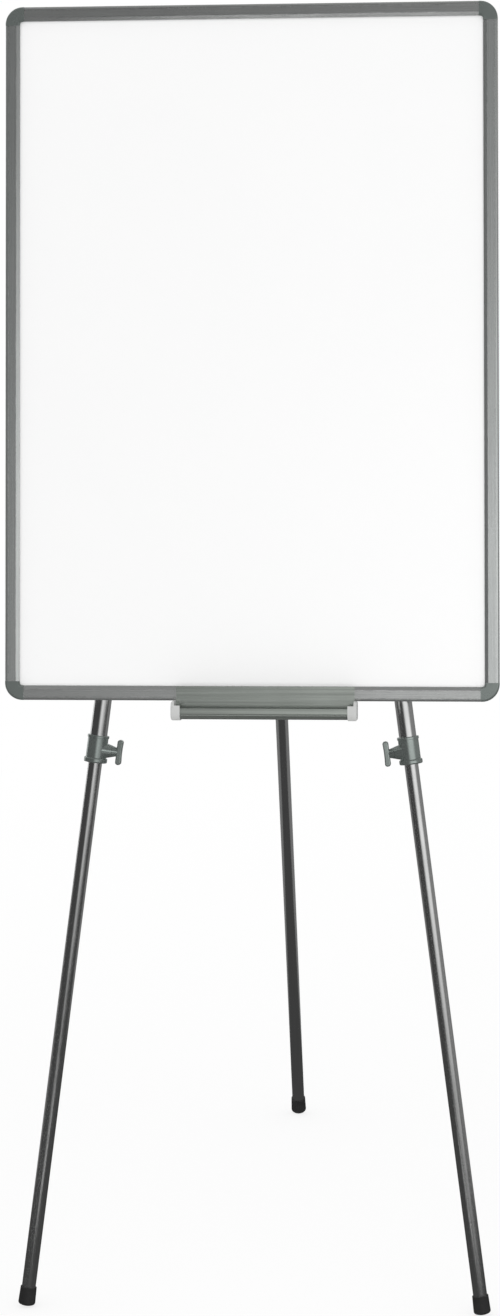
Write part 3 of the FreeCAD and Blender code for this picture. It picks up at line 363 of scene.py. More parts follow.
# %% [markdown]
# **Writing sheet.** A dry-wipe board is steel with a hard, glossy white lacquer. Close up, the lacquer has a
# faint orange peel about two millimetres wide, and the gloss varies where the rubber wipes most. Peel could
# be real geometry, but it is far thinner than a hair, so a bump is enough. A white close to full brightness
# would clip under the lamps, so the colour stays a little below it.

# %% Finish: white lacquer
PEEL_PER_METRE = 520.0
PEEL_HEIGHT = 0.000012
SHEET_WHITE = grey(0.925, (0.998, 1.0, 1.0))
WIPED_WHITE = grey(0.938, (1.0, 1.0, 0.998))

lacquer, tree, shader = start_finish("white dry-wipe lacquer", coat_weight=0.35, coat_roughness=0.06)
spot = add_node(tree, "ShaderNodeTexCoord", "place on the sheet")
peel = add_node(tree, "ShaderNodeTexNoise", "orange peel", {"Scale": PEEL_PER_METRE, "Detail": 2.0})
wiped = add_node(tree, "ShaderNodeTexNoise", "wiped areas", {"Scale": 5.0, "Detail": 7.0, "Distortion": 1.2})
gloss = use_group(tree, handling, {"Patches per Metre": 6.0, "Shiniest": 0.20, "Dullest": 0.24})
for texture in (peel, wiped):
    link(tree, spot.outputs["Object"], texture.inputs["Vector"])
white = layer(tree, "white", wiped.outputs["Fac"], SHEET_WHITE, WIPED_WHITE)
link(tree, white, shader.inputs["Base Color"])
link(tree, gloss.outputs["Roughness"], shader.inputs["Roughness"])
bump_from(tree, shader, peel.outputs["Fac"], PEEL_HEIGHT)
dress(lacquer, "writing_sheet")

# %% [markdown]
# ** Rails and tray.** Both are aluminium extrusions with a satin anodised skin: a metal with a soft sheen, and
# faint lines along its length. A single shared metal would put the lines across some of them, so one recipe
# makes three finishes: the lines run across the board in the top and bottom rails, up the board in the side
# rails, and are coarser in the tray. The top and bottom rails also get darker greys than the side rails of
# the same aluminium, as painted shade.

# %% Finish: satin anodised aluminium
ANODISED_METAL = 0.81
RUBBED_METAL = grey(0.72)


def anodised(name, along, lines_per_metre, dark, light, line_height):
    """A satin anodised extrusion whose lines run along the given direction."""
    material, tree, shader = start_finish(name, metallic=ANODISED_METAL)
    lines = use_group(tree, drawn_lines, {"Along": along, "Lines per Metre": lines_per_metre})
    wear = use_group(tree, worn_edges, {"Width": 0.0008, "Patches per Metre": 90.0})
    dust = use_group(tree, settled_dust, {"Amount": 0.30})
    gloss = use_group(tree, handling, {"Patches per Metre": 14.0, "Shiniest": 0.19, "Dullest": 0.25})
    skin = layer(tree, "skin", lines.outputs["Lines"], dark, light)
    rubbed = layer(tree, "rubbed edges", wear.outputs["Wear"], skin, RUBBED_METAL)
    dusty = layer(tree, "dusty", dust.outputs["Dust"], rubbed, DUST_COLOUR)
    link(tree, dusty, shader.inputs["Base Color"])
    link(tree, gloss.outputs["Roughness"], shader.inputs["Roughness"])
    bump_from(tree, shader, lines.outputs["Lines"], line_height)
    return material


print("anodised recipe ready")

# %% Dress the rails and the tray
RAIL_LINES_PER_METRE, TRAY_LINES_PER_METRE = 1100.0, 330.0
UPRIGHT_TINT, LEVEL_TINT, TRAY_TINT = (0.965, 1.0, 0.985), (0.975, 1.0, 0.985), (0.925, 1.0, 0.925)
UPRIGHT_LINE_HEIGHT, LEVEL_LINE_HEIGHT, TRAY_LINE_HEIGHT = 0.000030, 0.000042, 0.000022

# Painted shade: the top and bottom rails get darker greys than the side rails, to stand for the dimmer light
# they catch.
dress(anodised("anodised rail, lines across", ACROSS, RAIL_LINES_PER_METRE,
               grey(0.49, LEVEL_TINT), grey(0.58, LEVEL_TINT), LEVEL_LINE_HEIGHT),
      "frame_top_rail", "frame_bottom_rail")
dress(anodised("anodised rail, lines upright", BOARD_UP, RAIL_LINES_PER_METRE,
               grey(0.54, UPRIGHT_TINT), grey(0.63, UPRIGHT_TINT), UPRIGHT_LINE_HEIGHT),
      "frame_left_rail", "frame_right_rail")
dress(anodised("anodised tray", ACROSS, TRAY_LINES_PER_METRE,
               grey(0.34, TRAY_TINT), grey(0.58, TRAY_TINT), TRAY_LINE_HEIGHT),
      "pen_tray")

# %% [markdown]
# **Mouldings.** The corners, the collars, the T-handles, the head and the tray's end caps are all moulded
# plastic, in different greys. A material for each, written out, would repeat the same nodes five times. One
# recipe serves them all: fine grain in the bump, a drift in the colour, and edges that handling has polished
# lighter. The corners and the collars shine like metallic paint in the picture, so here they are partly
# metal.

# %% Finish: moulded plastic
MOULD_GRAIN_PER_METRE = 1300.0
MOULD_GRAIN_HEIGHT = 0.000035


def moulded(name, metal, dark, light, polished, shiniest, dullest):
    """A grained moulding: two greys for its drift, and a third for its polished edges."""
    material, tree, shader = start_finish(name, metallic=metal)
    grain = use_group(tree, moulded_grain, {"Grain per Metre": MOULD_GRAIN_PER_METRE})
    wear = use_group(tree, worn_edges, {"Width": 0.0011, "Patches per Metre": 140.0})
    dust = use_group(tree, settled_dust, {"Amount": 0.25})
    gloss = use_group(tree, handling, {"Patches per Metre": 35.0, "Shiniest": shiniest, "Dullest": dullest})
    body = layer(tree, "body", grain.outputs["Flow"], dark, light)
    rubbed = layer(tree, "polished edges", wear.outputs["Wear"], body, polished)
    dusty = layer(tree, "dusty", dust.outputs["Dust"], rubbed, DUST_COLOUR)
    link(tree, dusty, shader.inputs["Base Color"])
    link(tree, gloss.outputs["Roughness"], shader.inputs["Roughness"])
    bump_from(tree, shader, grain.outputs["Grain"], MOULD_GRAIN_HEIGHT)
    return material


print("moulding recipe ready")

# %% Dress the mouldings
GREEN_GREY = (0.89, 1.0, 0.955)
CAP_GREY = (0.99, 1.0, 0.985)
SIDES = ("left", "right", "rear")

dress(moulded("corner moulding", metal=0.65, dark=grey(0.26, GREEN_GREY), light=grey(0.30, GREEN_GREY),
              polished=grey(0.42, GREEN_GREY), shiniest=0.24, dullest=0.32),
      *[f"corner_{level}_{side}" for level in ("top", "bottom") for side in ("left", "right")])
dress(moulded("clamp moulding", metal=0.82, dark=grey(0.34, GREEN_GREY), light=grey(0.41, GREEN_GREY),
              polished=grey(0.52, GREEN_GREY), shiniest=0.18, dullest=0.25),
      *[f"{side}_{piece}" for side in SIDES for piece in ("clamp_collar", "clamp_knob")])
dress(moulded("end cap moulding", metal=0.0, dark=grey(0.50, CAP_GREY), light=grey(0.58, CAP_GREY),
              polished=grey(0.66), shiniest=0.38, dullest=0.50),
      "tray_end_cap_left", "tray_end_cap_right")
dress(moulded("head moulding", metal=0.0, dark=grey(0.085, GREEN_GREY), light=grey(0.115, GREEN_GREY),
              polished=grey(0.20, GREEN_GREY), shiniest=0.36, dullest=0.50),
      "tripod_head", "left_leg_saddle", "right_leg_saddle", "rear_hinge_knuckle")
dress(moulded("guide bush moulding", metal=0.0, dark=grey(0.018), light=grey(0.026), polished=grey(0.06),
              shiniest=0.34, dullest=0.45),
      *[f"{side}_guide_bush" for side in SIDES])

# %% [markdown]
# **Tubes.** The legs are silver-grey tubes, bright enough to carry a clear streak of light. They were drawn,
# so faint lines run along each axis. The streak could be painted on, but then it would stay put when the
# camera moves, so it is left to the metal and the lights. Each leg gets its own copy of the finish with its
# own direction. Sliding in and out through the collar leaves fine scuffs, above all on the thin tubes.

# %% Finish: drawn tube
TUBE_TINT = (0.995, 1.0, 0.995)
TUBE_DARK, TUBE_LIGHT = grey(0.64, TUBE_TINT), grey(0.74, TUBE_TINT)
TUBE_LINES_PER_METRE, SCUFFS_PER_METRE = 1500.0, 420.0
TUBE_LINE_HEIGHT = 0.000002
SCUFF_GREY = grey(0.25)
SCUFFED = {"upper": 0.10, "lower": 0.35}


def drawn_tube(name, along, scuffed):
    """A satin metal tube with lines along its axis, and with scuffs where it slides."""
    material, tree, shader = start_finish(name, metallic=1.0)
    lines = use_group(tree, drawn_lines, {"Along": along, "Lines per Metre": TUBE_LINES_PER_METRE})
    scuffs = use_group(tree, drawn_lines, {"Along": along, "Lines per Metre": SCUFFS_PER_METRE})
    gloss = use_group(tree, handling, {"Patches per Metre": 16.0, "Shiniest": 0.16, "Dullest": 0.24})
    deep = add_node(tree, "ShaderNodeMapRange", "deep scuffs",
                    {"From Min": 0.86, "From Max": 1.0, "To Max": scuffed})
    skin = layer(tree, "skin", lines.outputs["Lines"], TUBE_DARK, TUBE_LIGHT)
    link(tree, scuffs.outputs["Lines"], deep.inputs["Value"])
    link(tree, layer(tree, "scuffed", deep.outputs["Result"], skin, SCUFF_GREY), shader.inputs["Base Color"])
    link(tree, gloss.outputs["Roughness"], shader.inputs["Roughness"])
    bump_from(tree, shader, lines.outputs["Lines"], TUBE_LINE_HEIGHT)
    return material


for side in SIDES:
    for part, scuffed in SCUFFED.items():
        dress(drawn_tube(f"{side} {part} tube metal", LEG_UP[side], scuffed), f"{side}_{part}_tube")

# %% [markdown]
# **Feet.** Each leg ends in a cap of black rubber with a domed sole. A plain black would do from far off, but
# rubber is nearly black and never shiny: its grain is coarse, its gloss low, and the floor leaves grey dust
# in it.

# %% Finish: black rubber
RUBBER_GRAIN_PER_METRE = 900.0
RUBBER_GRAIN_HEIGHT = 0.00006
RUBBER_DARK, RUBBER_LIGHT, RUBBER_SCRAPED = grey(0.015), grey(0.027), grey(0.05)

rubber, tree, shader = start_finish("black foot rubber", specular_ior_level=0.35)
grain = use_group(tree, moulded_grain, {"Grain per Metre": RUBBER_GRAIN_PER_METRE})
wear = use_group(tree, worn_edges, {"Width": 0.0015, "Patches per Metre": 120.0})
dust = use_group(tree, settled_dust, {"Amount": 0.16})
gloss = use_group(tree, handling, {"Patches per Metre": 40.0, "Shiniest": 0.55, "Dullest": 0.75})
body = layer(tree, "body", grain.outputs["Flow"], RUBBER_DARK, RUBBER_LIGHT)
scraped = layer(tree, "scraped edges", wear.outputs["Wear"], body, RUBBER_SCRAPED)
link(tree, layer(tree, "dusty", dust.outputs["Dust"], scraped, DUST_COLOUR), shader.inputs["Base Color"])
link(tree, gloss.outputs["Roughness"], shader.inputs["Roughness"])
bump_from(tree, shader, grain.outputs["Grain"], RUBBER_GRAIN_HEIGHT)
dress(rubber, *[f"{side}_foot" for side in SIDES])

# %% [markdown]
# **Screws and inserts.** Zinc-plated steel has a cool, slightly patchy skin, and brass is warm and turns
# browner where it is old. Both are plain metals that differ in colour and gloss alone, so one recipe makes
# them.

# %% Finish: zinc and brass
COOL = (0.98, 1.0, 1.02)
BRASS_DARK, BRASS_LIGHT = (0.48, 0.33, 0.13, 1.0), (0.62, 0.46, 0.20, 1.0)
PITS_PER_METRE = 420.0
PIT_HEIGHT = 0.000008
BRIGHT_EDGE = grey(0.78)


def patchy_metal(name, dark, light, shiniest, dullest):
    """A plain metal whose tone drifts in patches."""
    material, tree, shader = start_finish(name, metallic=1.0)
    grain = use_group(tree, moulded_grain, {"Grain per Metre": PITS_PER_METRE})
    wear = use_group(tree, worn_edges, {"Width": 0.0004, "Patches per Metre": 300.0})
    gloss = use_group(tree, handling, {"Patches per Metre": 90.0, "Shiniest": shiniest, "Dullest": dullest})
    skin = layer(tree, "skin", grain.outputs["Grain"], dark, light)
    edged = layer(tree, "bright edges", wear.outputs["Wear"], skin, BRIGHT_EDGE)
    link(tree, edged, shader.inputs["Base Color"])
    link(tree, gloss.outputs["Roughness"], shader.inputs["Roughness"])
    bump_from(tree, shader, grain.outputs["Grain"], PIT_HEIGHT)
    return material


zinc = patchy_metal("zinc-plated steel", grey(0.50, COOL), grey(0.66, COOL), shiniest=0.22, dullest=0.36)
brass = patchy_metal("turned brass", BRASS_DARK, BRASS_LIGHT, shiniest=0.20, dullest=0.34)
dress(zinc, "corner_screws", "head_screws", "saddle_screws", "leg_socket_screws", "rear_knuckle_screw",
      "hinge_bolt", "hinge_nut", *[f"{side}_clamp_screw" for side in SIDES])
dress(brass, *[f"{side}_thread_insert" for side in SIDES])

# %% [markdown]
# **Back of the board.** The backing sheet is galvanised steel, whose zinc crystals make pale and dark flakes.
# A noise would blur them into clouds, so a cell texture is used, with one tone for each cell. The core
# between the two sheets is pressed board, seen at most as an edge, so stretched noise for its fibres is
# enough.

# %% Finish: galvanised sheet and core
FLAKES_PER_METRE = 110.0
FLAKE_HEIGHT = 0.00001
FLAKE_TINT = (0.98, 1.0, 1.01)
FIBRES_PER_METRE = 700.0
FIBRE_HEIGHT = 0.00005
CORE_DARK, CORE_LIGHT = (0.30, 0.21, 0.13, 1.0), (0.42, 0.31, 0.20, 1.0)

galvanised, tree, shader = start_finish("galvanised backing sheet", metallic=0.35)
spot = add_node(tree, "ShaderNodeTexCoord", "place on the sheet")
flakes = add_node(tree, "ShaderNodeTexVoronoi", "zinc flakes", {"Scale": FLAKES_PER_METRE, "Randomness": 1.0})
flake_tone = add_node(tree, "ShaderNodeSeparateColor", "tone of each flake")
gloss = use_group(tree, handling, {"Patches per Metre": 10.0, "Shiniest": 0.36, "Dullest": 0.46})
link(tree, spot.outputs["Object"], flakes.inputs["Vector"])
link(tree, flakes.outputs["Color"], flake_tone.inputs["Color"])
sheet_skin = layer(tree, "flakes", flake_tone.outputs["Red"], grey(0.50, FLAKE_TINT), grey(0.62, FLAKE_TINT))
link(tree, sheet_skin, shader.inputs["Base Color"])
link(tree, gloss.outputs["Roughness"], shader.inputs["Roughness"])
bump_from(tree, shader, flakes.outputs["Distance"], FLAKE_HEIGHT)
dress(galvanised, "back_sheet")

core, tree, shader = start_finish("pressed core board", roughness=0.85)
fibres = use_group(tree, drawn_lines, {"Along": ACROSS, "Lines per Metre": FIBRES_PER_METRE})
link(tree, layer(tree, "fibres", fibres.outputs["Lines"], CORE_DARK, CORE_LIGHT), shader.inputs["Base Color"])
bump_from(tree, shader, fibres.outputs["Lines"], FIBRE_HEIGHT)
dress(core, "core_panel")

# %% [markdown]
# **Screw heads.** Small screws are plain in the CAD model, so here their heads get the cross that a driver
# fits. A dark cross in the colour would look flat from the side, so each is really cut. One node can hold
# several screws, so its points are sorted first: points closer together than two screws can be belong to one
# screw. The cutter is a tapered cross, sized from the head that it cuts.

# %% Shape of a cross
SCREWS_APART = 0.02
CROSS_ABOVE = 0.0005
CROSS_DEPTH = 0.45             # this and the next two are shares of the head's radius
CROSS_MOUTH = (0.62, 0.15)     # reach and half width of an arm at the top
CROSS_FLOOR = (0.26, 0.09)     # the same at the bottom
QUARTER_TURNS = ((1, 0), (0, 1), (-1, 0), (0, -1))


def sort_into_screws(points):
    """Groups of points, one group for each screw."""
    screws = []
    for point in points:
        near = [screw for screw in screws if (screw[0] - point).length < SCREWS_APART]
        if near:
            near[0].append(point)
        else:
            screws.append([point])
    return screws


def add_cross(cutter, screw, outward, turn):
    """Adds one tapered cross at the top of a screw, and returns the radius of the screw's head."""
    side = Matrix.Rotation(turn, 3, outward) @ outward.orthogonal().normalized()
    other = outward.cross(side)
    middle = Vector()
    for way in (side, other):
        places = [point @ way for point in screw]
        middle += (min(places) + max(places)) / 2 * way
    top = middle + max(point @ outward for point in screw) * outward
    radius = max((point - point.project(outward) - middle).length for point in screw)
    rings = []
    for height, (reach, half) in ((CROSS_ABOVE, CROSS_MOUTH), (-CROSS_DEPTH * radius, CROSS_FLOOR)):
        arm = [(reach, -half), (reach, half), (half, half)]
        outline = [(a * c - b * s, a * s + b * c) for c, s in QUARTER_TURNS for a, b in arm]
        rings.append([cutter.verts.new(top + height * outward + radius * (a * side + b * other))
                      for a, b in outline])
    cutter.faces.new(rings[0])
    cutter.faces.new(rings[1][::-1])
    for i in range(len(rings[0])):
        cutter.faces.new((rings[0][i], rings[0][i - 1], rings[1][i - 1], rings[1][i]))
    return radius


print("cross is", CROSS_DEPTH, "of a head's radius deep")

# %% [markdown]
# The CAD mesh itself isn't touched: each cross is cut out of a copy, and the copy stands for the CAD node and
# rides on the same body. No fitter leaves all the crosses in line, so each is turned on from the one before
# by the golden angle.

# %% Cut crosses into the screw heads
CROSS_TURN = 2.4
SAME_POINT = 1e-6
SHARP_EDGE = math.radians(32)


def mesh_object(name, shape):
    """A new object in the scene from a bmesh, which is used up."""
    mesh = bpy.data.meshes.new(name)
    shape.to_mesh(mesh)
    shape.free()
    made = bpy.data.objects.new(name, mesh)
    bpy.context.scene.collection.objects.link(made)
    return made


def cut_crosses(node, outward):
    """A copy of a node of screws, with crosses cut into the heads, that stands for the node."""
    source = frame["nodes"][node]
    shape = bmesh.new()
    shape.from_mesh(source.data)
    bmesh.ops.remove_doubles(shape, verts=shape.verts, dist=SAME_POINT)
    screws = sort_into_screws([v.co.copy() for v in shape.verts])
    cutter = bmesh.new()
    for number, screw in enumerate(screws):
        radius = add_cross(cutter, screw, outward, number * CROSS_TURN)
    bmesh.ops.recalc_face_normals(cutter, faces=cutter.faces)
    piece = mesh_object(node + "_with_crosses", shape)
    tool = mesh_object(node + "_cutter", cutter)
    cut = piece.modifiers.new("crosses", "BOOLEAN")
    cut.operation = "DIFFERENCE"
    cut.solver = "EXACT"
    cut.object = tool
    whole = bpy.data.meshes.new_from_object(piece.evaluated_get(bpy.context.evaluated_depsgraph_get()))
    piece.modifiers.clear()
    piece.data = whole
    bpy.data.objects.remove(tool)
    whole.materials.clear()
    whole.materials.append(zinc)
    whole.polygons.foreach_set("use_smooth", [True] * len(whole.polygons))
    whole.set_sharp_from_angle(angle=SHARP_EDGE)
    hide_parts(node)
    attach(piece, body_of(source)[0])
    print(node, "screws:", len(screws), "head radius", round(radius * 1000, 2), "mm")


for node in ("corner_screws", "head_screws", "saddle_screws", "leg_socket_screws"):
    cut_crosses(node, BOARD_BACK)
cut_crosses("rear_knuckle_screw", LEG_UP["rear"].cross(ACROSS))

# %% [markdown]
# **Floor.** The floor and the background are plain white, and the floor still has to keep the stand's shadow.
# More light would make it white and burn out the board. So rays from the camera, from metal and through glass
# see a floor that mostly glows and is lit for the rest, while the rays that light the object see a plain
# diffuse floor. Further out the glow is full, and the floor's rim disappears into the background.

# %% Lay the floor
FLOOR_RADIUS = 14.0
FLOOR_CORNERS = 96
FLOOR_DROP = 0.0004

disc = bmesh.new()
bmesh.ops.create_circle(disc, cap_ends=True, radius=FLOOR_RADIUS, segments=FLOOR_CORNERS)
bmesh.ops.translate(disc, verts=disc.verts, vec=(0, 0, CAD_BOX[0].z - FLOOR_DROP))
floor = mesh_object("floor", disc)
print("floor radius", FLOOR_RADIUS, "m")

# %% Paint the floor
FLOOR_WHITE = grey(0.86)
GLOW_NEAR, GLOW_FAR = 0.6, 3.2     # metres from the middle
NEAR_GLOW = 0.78


def seen_directly(tree):
    """1 for rays from the camera, off a glossy surface or through glass, and 0 for rays that light things."""
    path = add_node(tree, "ShaderNodeLightPath", "kind of ray")
    camera_or_metal = add_node(tree, "ShaderNodeMath", "camera or metal", operation="MAXIMUM")
    any_of_three = add_node(tree, "ShaderNodeMath", "camera, metal or glass", operation="MAXIMUM")
    link(tree, path.outputs["Is Camera Ray"], camera_or_metal.inputs[0])
    link(tree, path.outputs["Is Glossy Ray"], camera_or_metal.inputs[1])
    link(tree, camera_or_metal.outputs["Value"], any_of_three.inputs[0])
    link(tree, path.outputs["Is Transmission Ray"], any_of_three.inputs[1])
    return any_of_three.outputs["Value"]


floor_paint = bpy.data.materials.new("white studio floor")
floor_paint.use_nodes = True
tree = floor_paint.node_tree
tree.nodes.clear()
lit = add_node(tree, "ShaderNodeBsdfDiffuse", "lit floor", {"Color": FLOOR_WHITE})
glow = add_node(tree, "ShaderNodeEmission", "glow", {"Color": grey(1.0), "Strength": 1.0})
spot = add_node(tree, "ShaderNodeTexCoord", "place on the floor")
far = add_node(tree, "ShaderNodeVectorMath", "distance from the middle", operation="LENGTH")
share = add_node(tree, "ShaderNodeMapRange", "share of glow",
                 {"From Min": GLOW_NEAR, "From Max": GLOW_FAR, "To Min": NEAR_GLOW, "To Max": 1.0})
shown = add_node(tree, "ShaderNodeMixShader", "floor as seen")
mixed = add_node(tree, "ShaderNodeMixShader", "floor for each ray")
end = add_node(tree, "ShaderNodeOutputMaterial", "end")
link(tree, spot.outputs["Object"], far.inputs[0])
link(tree, far.outputs["Value"], share.inputs["Value"])
link(tree, share.outputs["Result"], shown.inputs[0])
link(tree, lit.outputs["BSDF"], shown.inputs[1])
link(tree, glow.outputs["Emission"], shown.inputs[2])
link(tree, seen_directly(tree), mixed.inputs[0])
link(tree, lit.outputs["BSDF"], mixed.inputs[1])
link(tree, shown.outputs["Shader"], mixed.inputs[2])
link(tree, mixed.outputs["Shader"], end.inputs["Surface"])
floor.data.materials.append(floor_paint)
print("floor glows", NEAR_GLOW, "near the stand")

# %% [markdown]
# **Background and fill.** The world does two jobs. Seen directly it is white, and for the light that falls on
# the object it is an even fill, which leaves a little room for a lamp to give the shapes a side. A white room
# of walls would do the same, but it would have corners to hide.

# %% Light from all round
FILL = 1.085

world = bpy.data.worlds.new("white studio")
bpy.context.scene.world = world
world.use_nodes = True
tree = world.node_tree
tree.nodes.clear()
white_view = add_node(tree, "ShaderNodeBackground", "white as seen", {"Color": grey(1.0), "Strength": 1.0})
even_fill = add_node(tree, "ShaderNodeBackground", "even fill", {"Color": grey(1.0), "Strength": FILL})
choice = add_node(tree, "ShaderNodeMixShader", "for each ray")
end = add_node(tree, "ShaderNodeOutputWorld", "end")
link(tree, seen_directly(tree), choice.inputs[0])
link(tree, even_fill.outputs["Background"], choice.inputs[1])
link(tree, white_view.outputs["Background"], choice.inputs[2])
link(tree, choice.outputs["Shader"], end.inputs["Surface"])
print("fill", FILL)

# %% [markdown]
# **Cloth for flags.** Metal only looks like metal when it has something dark to reflect. Product
# photographers stand black cloth, called flags, round the object, so that a tube shows one bright streak
# between two dark sides. A picture of a studio wrapped round the world would do it too, but cloth can be
# moved piece by piece. The cloth here is an emission of one tone. The window is the exception: its tone
# follows height and bearing.

# %% Cloth for the flags
def tone_curve(tree, name, source, stops):
    """A tone that follows a value, through stops of (value, tone)."""
    first, last = stops[0][0], stops[-1][0]
    place = add_node(tree, "ShaderNodeMapRange", name + " place", {"From Min": first, "From Max": last})
    curve = add_node(tree, "ShaderNodeValToRGB", name)
    link(tree, source, place.inputs["Value"])
    link(tree, place.outputs["Result"], curve.inputs["Fac"])
    marks = curve.color_ramp.elements
    while len(marks) < len(stops):
        marks.new(0.5)
    for mark, (value, tone) in zip(marks, stops):
        mark.position = (value - first) / (last - first)
        mark.color = grey(tone)
    return curve.outputs["Color"]


def flag_cloth(name, tone, heights=None, bearings=None):
    """Cloth of an even tone, or of a tone that follows height in metres and bearing in degrees."""
    material = bpy.data.materials.new(name)
    material.use_nodes = True
    tree = material.node_tree
    tree.nodes.clear()
    cloth = add_node(tree, "ShaderNodeEmission", "cloth", {"Color": grey(1.0), "Strength": tone})
    end = add_node(tree, "ShaderNodeOutputMaterial", "end")
    link(tree, cloth.outputs["Emission"], end.inputs["Surface"])
    if heights:
        spot = add_node(tree, "ShaderNodeTexCoord", "place on the cloth")
        parts = add_node(tree, "ShaderNodeSeparateXYZ", "parts")
        ahead = add_node(tree, "ShaderNodeMath", "towards the camera", {1: -1.0}, operation="MULTIPLY")
        bearing = add_node(tree, "ShaderNodeMath", "bearing", operation="ARCTAN2")
        degrees = add_node(tree, "ShaderNodeMath", "in degrees", operation="DEGREES")
        link(tree, spot.outputs["Object"], parts.inputs["Vector"])
        link(tree, parts.outputs["Y"], ahead.inputs[0])
        link(tree, parts.outputs["X"], bearing.inputs[0])
        link(tree, ahead.outputs["Value"], bearing.inputs[1])
        link(tree, bearing.outputs["Value"], degrees.inputs[0])
        upright = tone_curve(tree, "tone by height", parts.outputs["Z"], heights)
        sideways = tone_curve(tree, "tone by bearing", degrees.outputs["Value"], bearings)
        both = add_node(tree, "ShaderNodeMix", "both", {MIX_FACTOR: 1.0},
                        data_type="RGBA", blend_type="MULTIPLY")
        link(tree, upright, both.inputs[MIX_UNDER])
        link(tree, sideways, both.inputs[MIX_OVER])
        link(tree, both.outputs[MIX_RESULT], cloth.inputs["Color"])
    return material


print("cloth helpers ready")

# %% [markdown]
# **Flags.** They hang on a ring six metres from the middle, as curved sheets that only glossy rays can see,
# so they light nothing and cast no shadow. Black hangs on the left and lies on the floor, and grey hangs on
# the right and overhead. The window in front, a little right of the camera, fades to all its edges, and by
# height most of all, because a rail or a leg that leans mirrors a different height at each end. The bright
# sheet behind does the same work for someone who walks round the back. The white card on the floor is
# mirrored by the inner lip of the top rail, which looks down at it.

# %% Hang the flags
FLAG_RADIUS = 6.0
FLAG_STEP = math.radians(3.0)
FOOT_EDGE, TOP_EDGE = (FLAG_RADIUS, 0.02), (FLAG_RADIUS, 7.0)     # edges are (radius, height)
ROOF_MIDDLE, FLOOR_MIDDLE = (0.0, 7.0), (0.0, 0.002)
FLOOR_INNER, FLOOR_OUTER = (0.7, 0.002), (FLAG_RADIUS, 0.002)
CARD_INNER, CARD_OUTER = (1.75, 0.004), (2.3, 0.004)
HIDDEN_FROM = ("camera", "diffuse", "transmission", "volume_scatter", "shadow")


def flag(name, cloth, bearings, inner, outer):
    """A curved sheet between two bearings, in degrees right of the camera, and two (radius, height) edges."""
    start, stop = (math.radians(bearing) for bearing in bearings)
    steps = max(2, round((stop - start) / FLAG_STEP))
    turns = [start + (stop - start) * step / steps for step in range(steps + 1)]
    sheet = bmesh.new()
    rows = [[sheet.verts.new((radius * math.sin(turn), -radius * math.cos(turn), height)) for turn in turns]
            for radius, height in (inner, outer)]
    for step in range(steps):
        sheet.faces.new((rows[0][step], rows[0][step + 1], rows[1][step + 1], rows[1][step]))
    cloth_object = mesh_object(name, sheet)
    cloth_object.data.materials.append(cloth)
    for ray in HIDDEN_FROM:
        setattr(cloth_object, "visible_" + ray, False)


WINDOW_HEIGHTS = [(0.0, 0.12), (0.43, 0.31), (0.77, 0.63), (1.1, 0.88), (1.54, 1.0), (1.97, 0.82),
                  (2.48, 0.42), (3.0, 0.24), (3.6, 0.11), (7.0, 0.075)]
WINDOW_BEARINGS = [(-16, 0.08), (-8, 0.25), (2, 0.80), (14, 1.0), (46, 1.0), (58, 0.60), (68, 0.21)]
WINDOW_TONE = 1.3
black_cloth = flag_cloth("black flag cloth", 0.065)
grey_cloth = flag_cloth("grey flag cloth", 0.22)
light_cloth = flag_cloth("light flag cloth", 0.70)
ceiling_cloth = flag_cloth("ceiling cloth", 0.28)
card_cloth = flag_cloth("white card", 0.95)
side_cloth = flag_cloth("side cloth", 0.27)
window_cloth = flag_cloth("window cloth", WINDOW_TONE, WINDOW_HEIGHTS, WINDOW_BEARINGS)
flag("left flag", black_cloth, (-115, -16), FOOT_EDGE, TOP_EDGE)
flag("window", window_cloth, (-16, 68), FOOT_EDGE, TOP_EDGE)
flag("right flag", side_cloth, (68, 125), FOOT_EDGE, TOP_EDGE)
flag("ceiling flag", ceiling_cloth, (-180, 180), ROOF_MIDDLE, TOP_EDGE)
flag("back flag left", grey_cloth, (195, 215), FOOT_EDGE, TOP_EDGE)
flag("back flag right", grey_cloth, (125, 160), FOOT_EDGE, TOP_EDGE)
flag("back window", light_cloth, (160, 195), FOOT_EDGE, TOP_EDGE)
flag("front floor flag", black_cloth, (-90, 90), FLOOR_MIDDLE, FLOOR_OUTER)
flag("back floor flag", grey_cloth, (90, 270), FLOOR_INNER, FLOOR_OUTER)
flag("middle floor flag", black_cloth, (90, 270), FLOOR_MIDDLE, FLOOR_INNER)
flag("floor card", card_cloth, (-13, 16), CARD_INNER, CARD_OUTER)
print("flags at", FLAG_RADIUS, "m")

# %% [markdown]
# **Lamp.** One large soft lamp in front, to the right and above the camera, gives the collars and the rounded
# frame a lit side. A small lamp would throw hard shadows, and the picture has none. Its power is set so that
# fill and lamp together light the board to just under white.

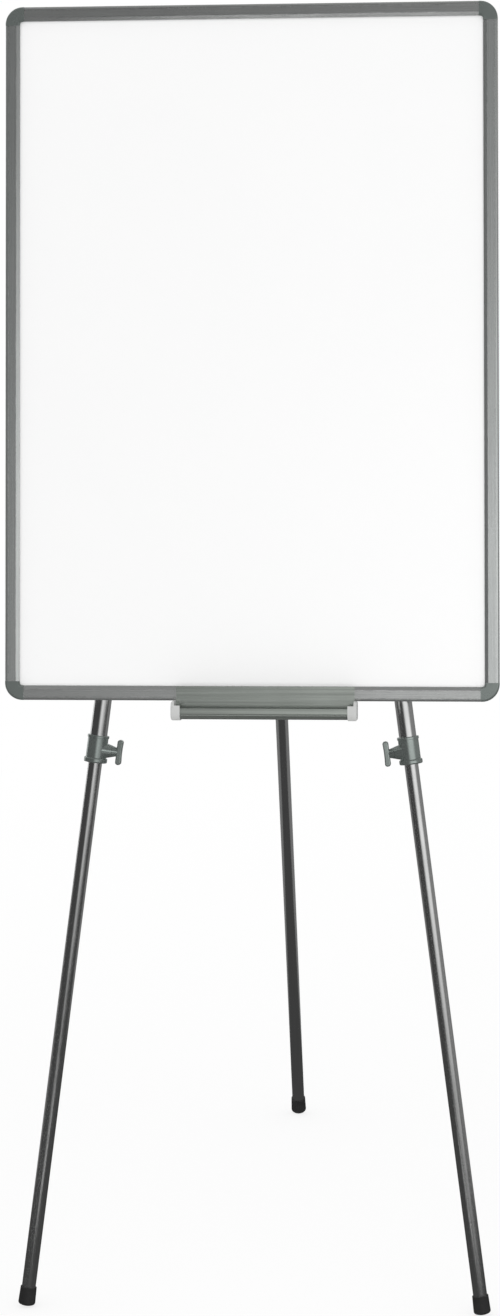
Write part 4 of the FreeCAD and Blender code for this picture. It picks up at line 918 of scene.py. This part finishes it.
# %% Hang the lamp
LAMP_PLACE = Vector((2.0, -3.1, 2.7))
LAMP_AIM = Vector((0.0, -0.2, 1.0))
LAMP_SIZE = 1.5
LAMP_POWER = 7.0

light = bpy.data.lights.new("key lamp", "AREA")
light.size = LAMP_SIZE
light.energy = LAMP_POWER
lamp = bpy.data.objects.new("key lamp", light)
lamp.location = LAMP_PLACE
lamp.rotation_euler = (LAMP_AIM - LAMP_PLACE).to_track_quat("-Z", "Y").to_euler()
lamp.visible_glossy = False
bpy.context.scene.collection.objects.link(lamp)
print("key lamp power", LAMP_POWER, "W")

# %% [markdown]
# **Camera.** The picture's frame is 500 by 1316 pixels. A camera could be moved by eye until the outlines
# meet, but a fit is surer: a pinhole camera fitted to the board's corners, the legs and the feet gives where
# it stood, how it was turned, and a focal length in pixels. Blender measures the sensor along the longer
# side, so the lens and the upward shift follow from the frame's height. Sideways there is none.

# %% Set up the camera
FRAME_PIXELS = (500, 1316)
FOCAL_PIXELS = 3347.85
OPTICAL_CENTRE_DOWN = 420.0
CAMERA_PLACE = Vector((0.4244, -5.04427, 1.8067))
TURN_LEFT, LOOK_DOWN, ROLL = (math.radians(angle) for angle in (5.1168, 6.473, 0.7642))
SENSOR = 36.0

lens = bpy.data.cameras.new("camera")
lens.sensor_width = SENSOR
lens.lens = SENSOR * FOCAL_PIXELS / max(FRAME_PIXELS)
lens.shift_y = (OPTICAL_CENTRE_DOWN - FRAME_PIXELS[1] / 2) / max(FRAME_PIXELS)
camera = bpy.data.objects.new("camera", lens)
bpy.context.scene.collection.objects.link(camera)
camera.matrix_world = (Matrix.Translation(CAMERA_PLACE) @ Matrix.Rotation(TURN_LEFT, 4, "Z")
                       @ Matrix.Rotation(math.pi / 2 - LOOK_DOWN, 4, "X") @ Matrix.Rotation(-ROLL, 4, "Z"))
bpy.context.scene.camera = camera
bpy.context.scene.view_settings.view_transform = "Standard"
print("lens", round(lens.lens, 2), "mm, shift", round(lens.shift_y, 4))

# %% Finish
print("scene ready")
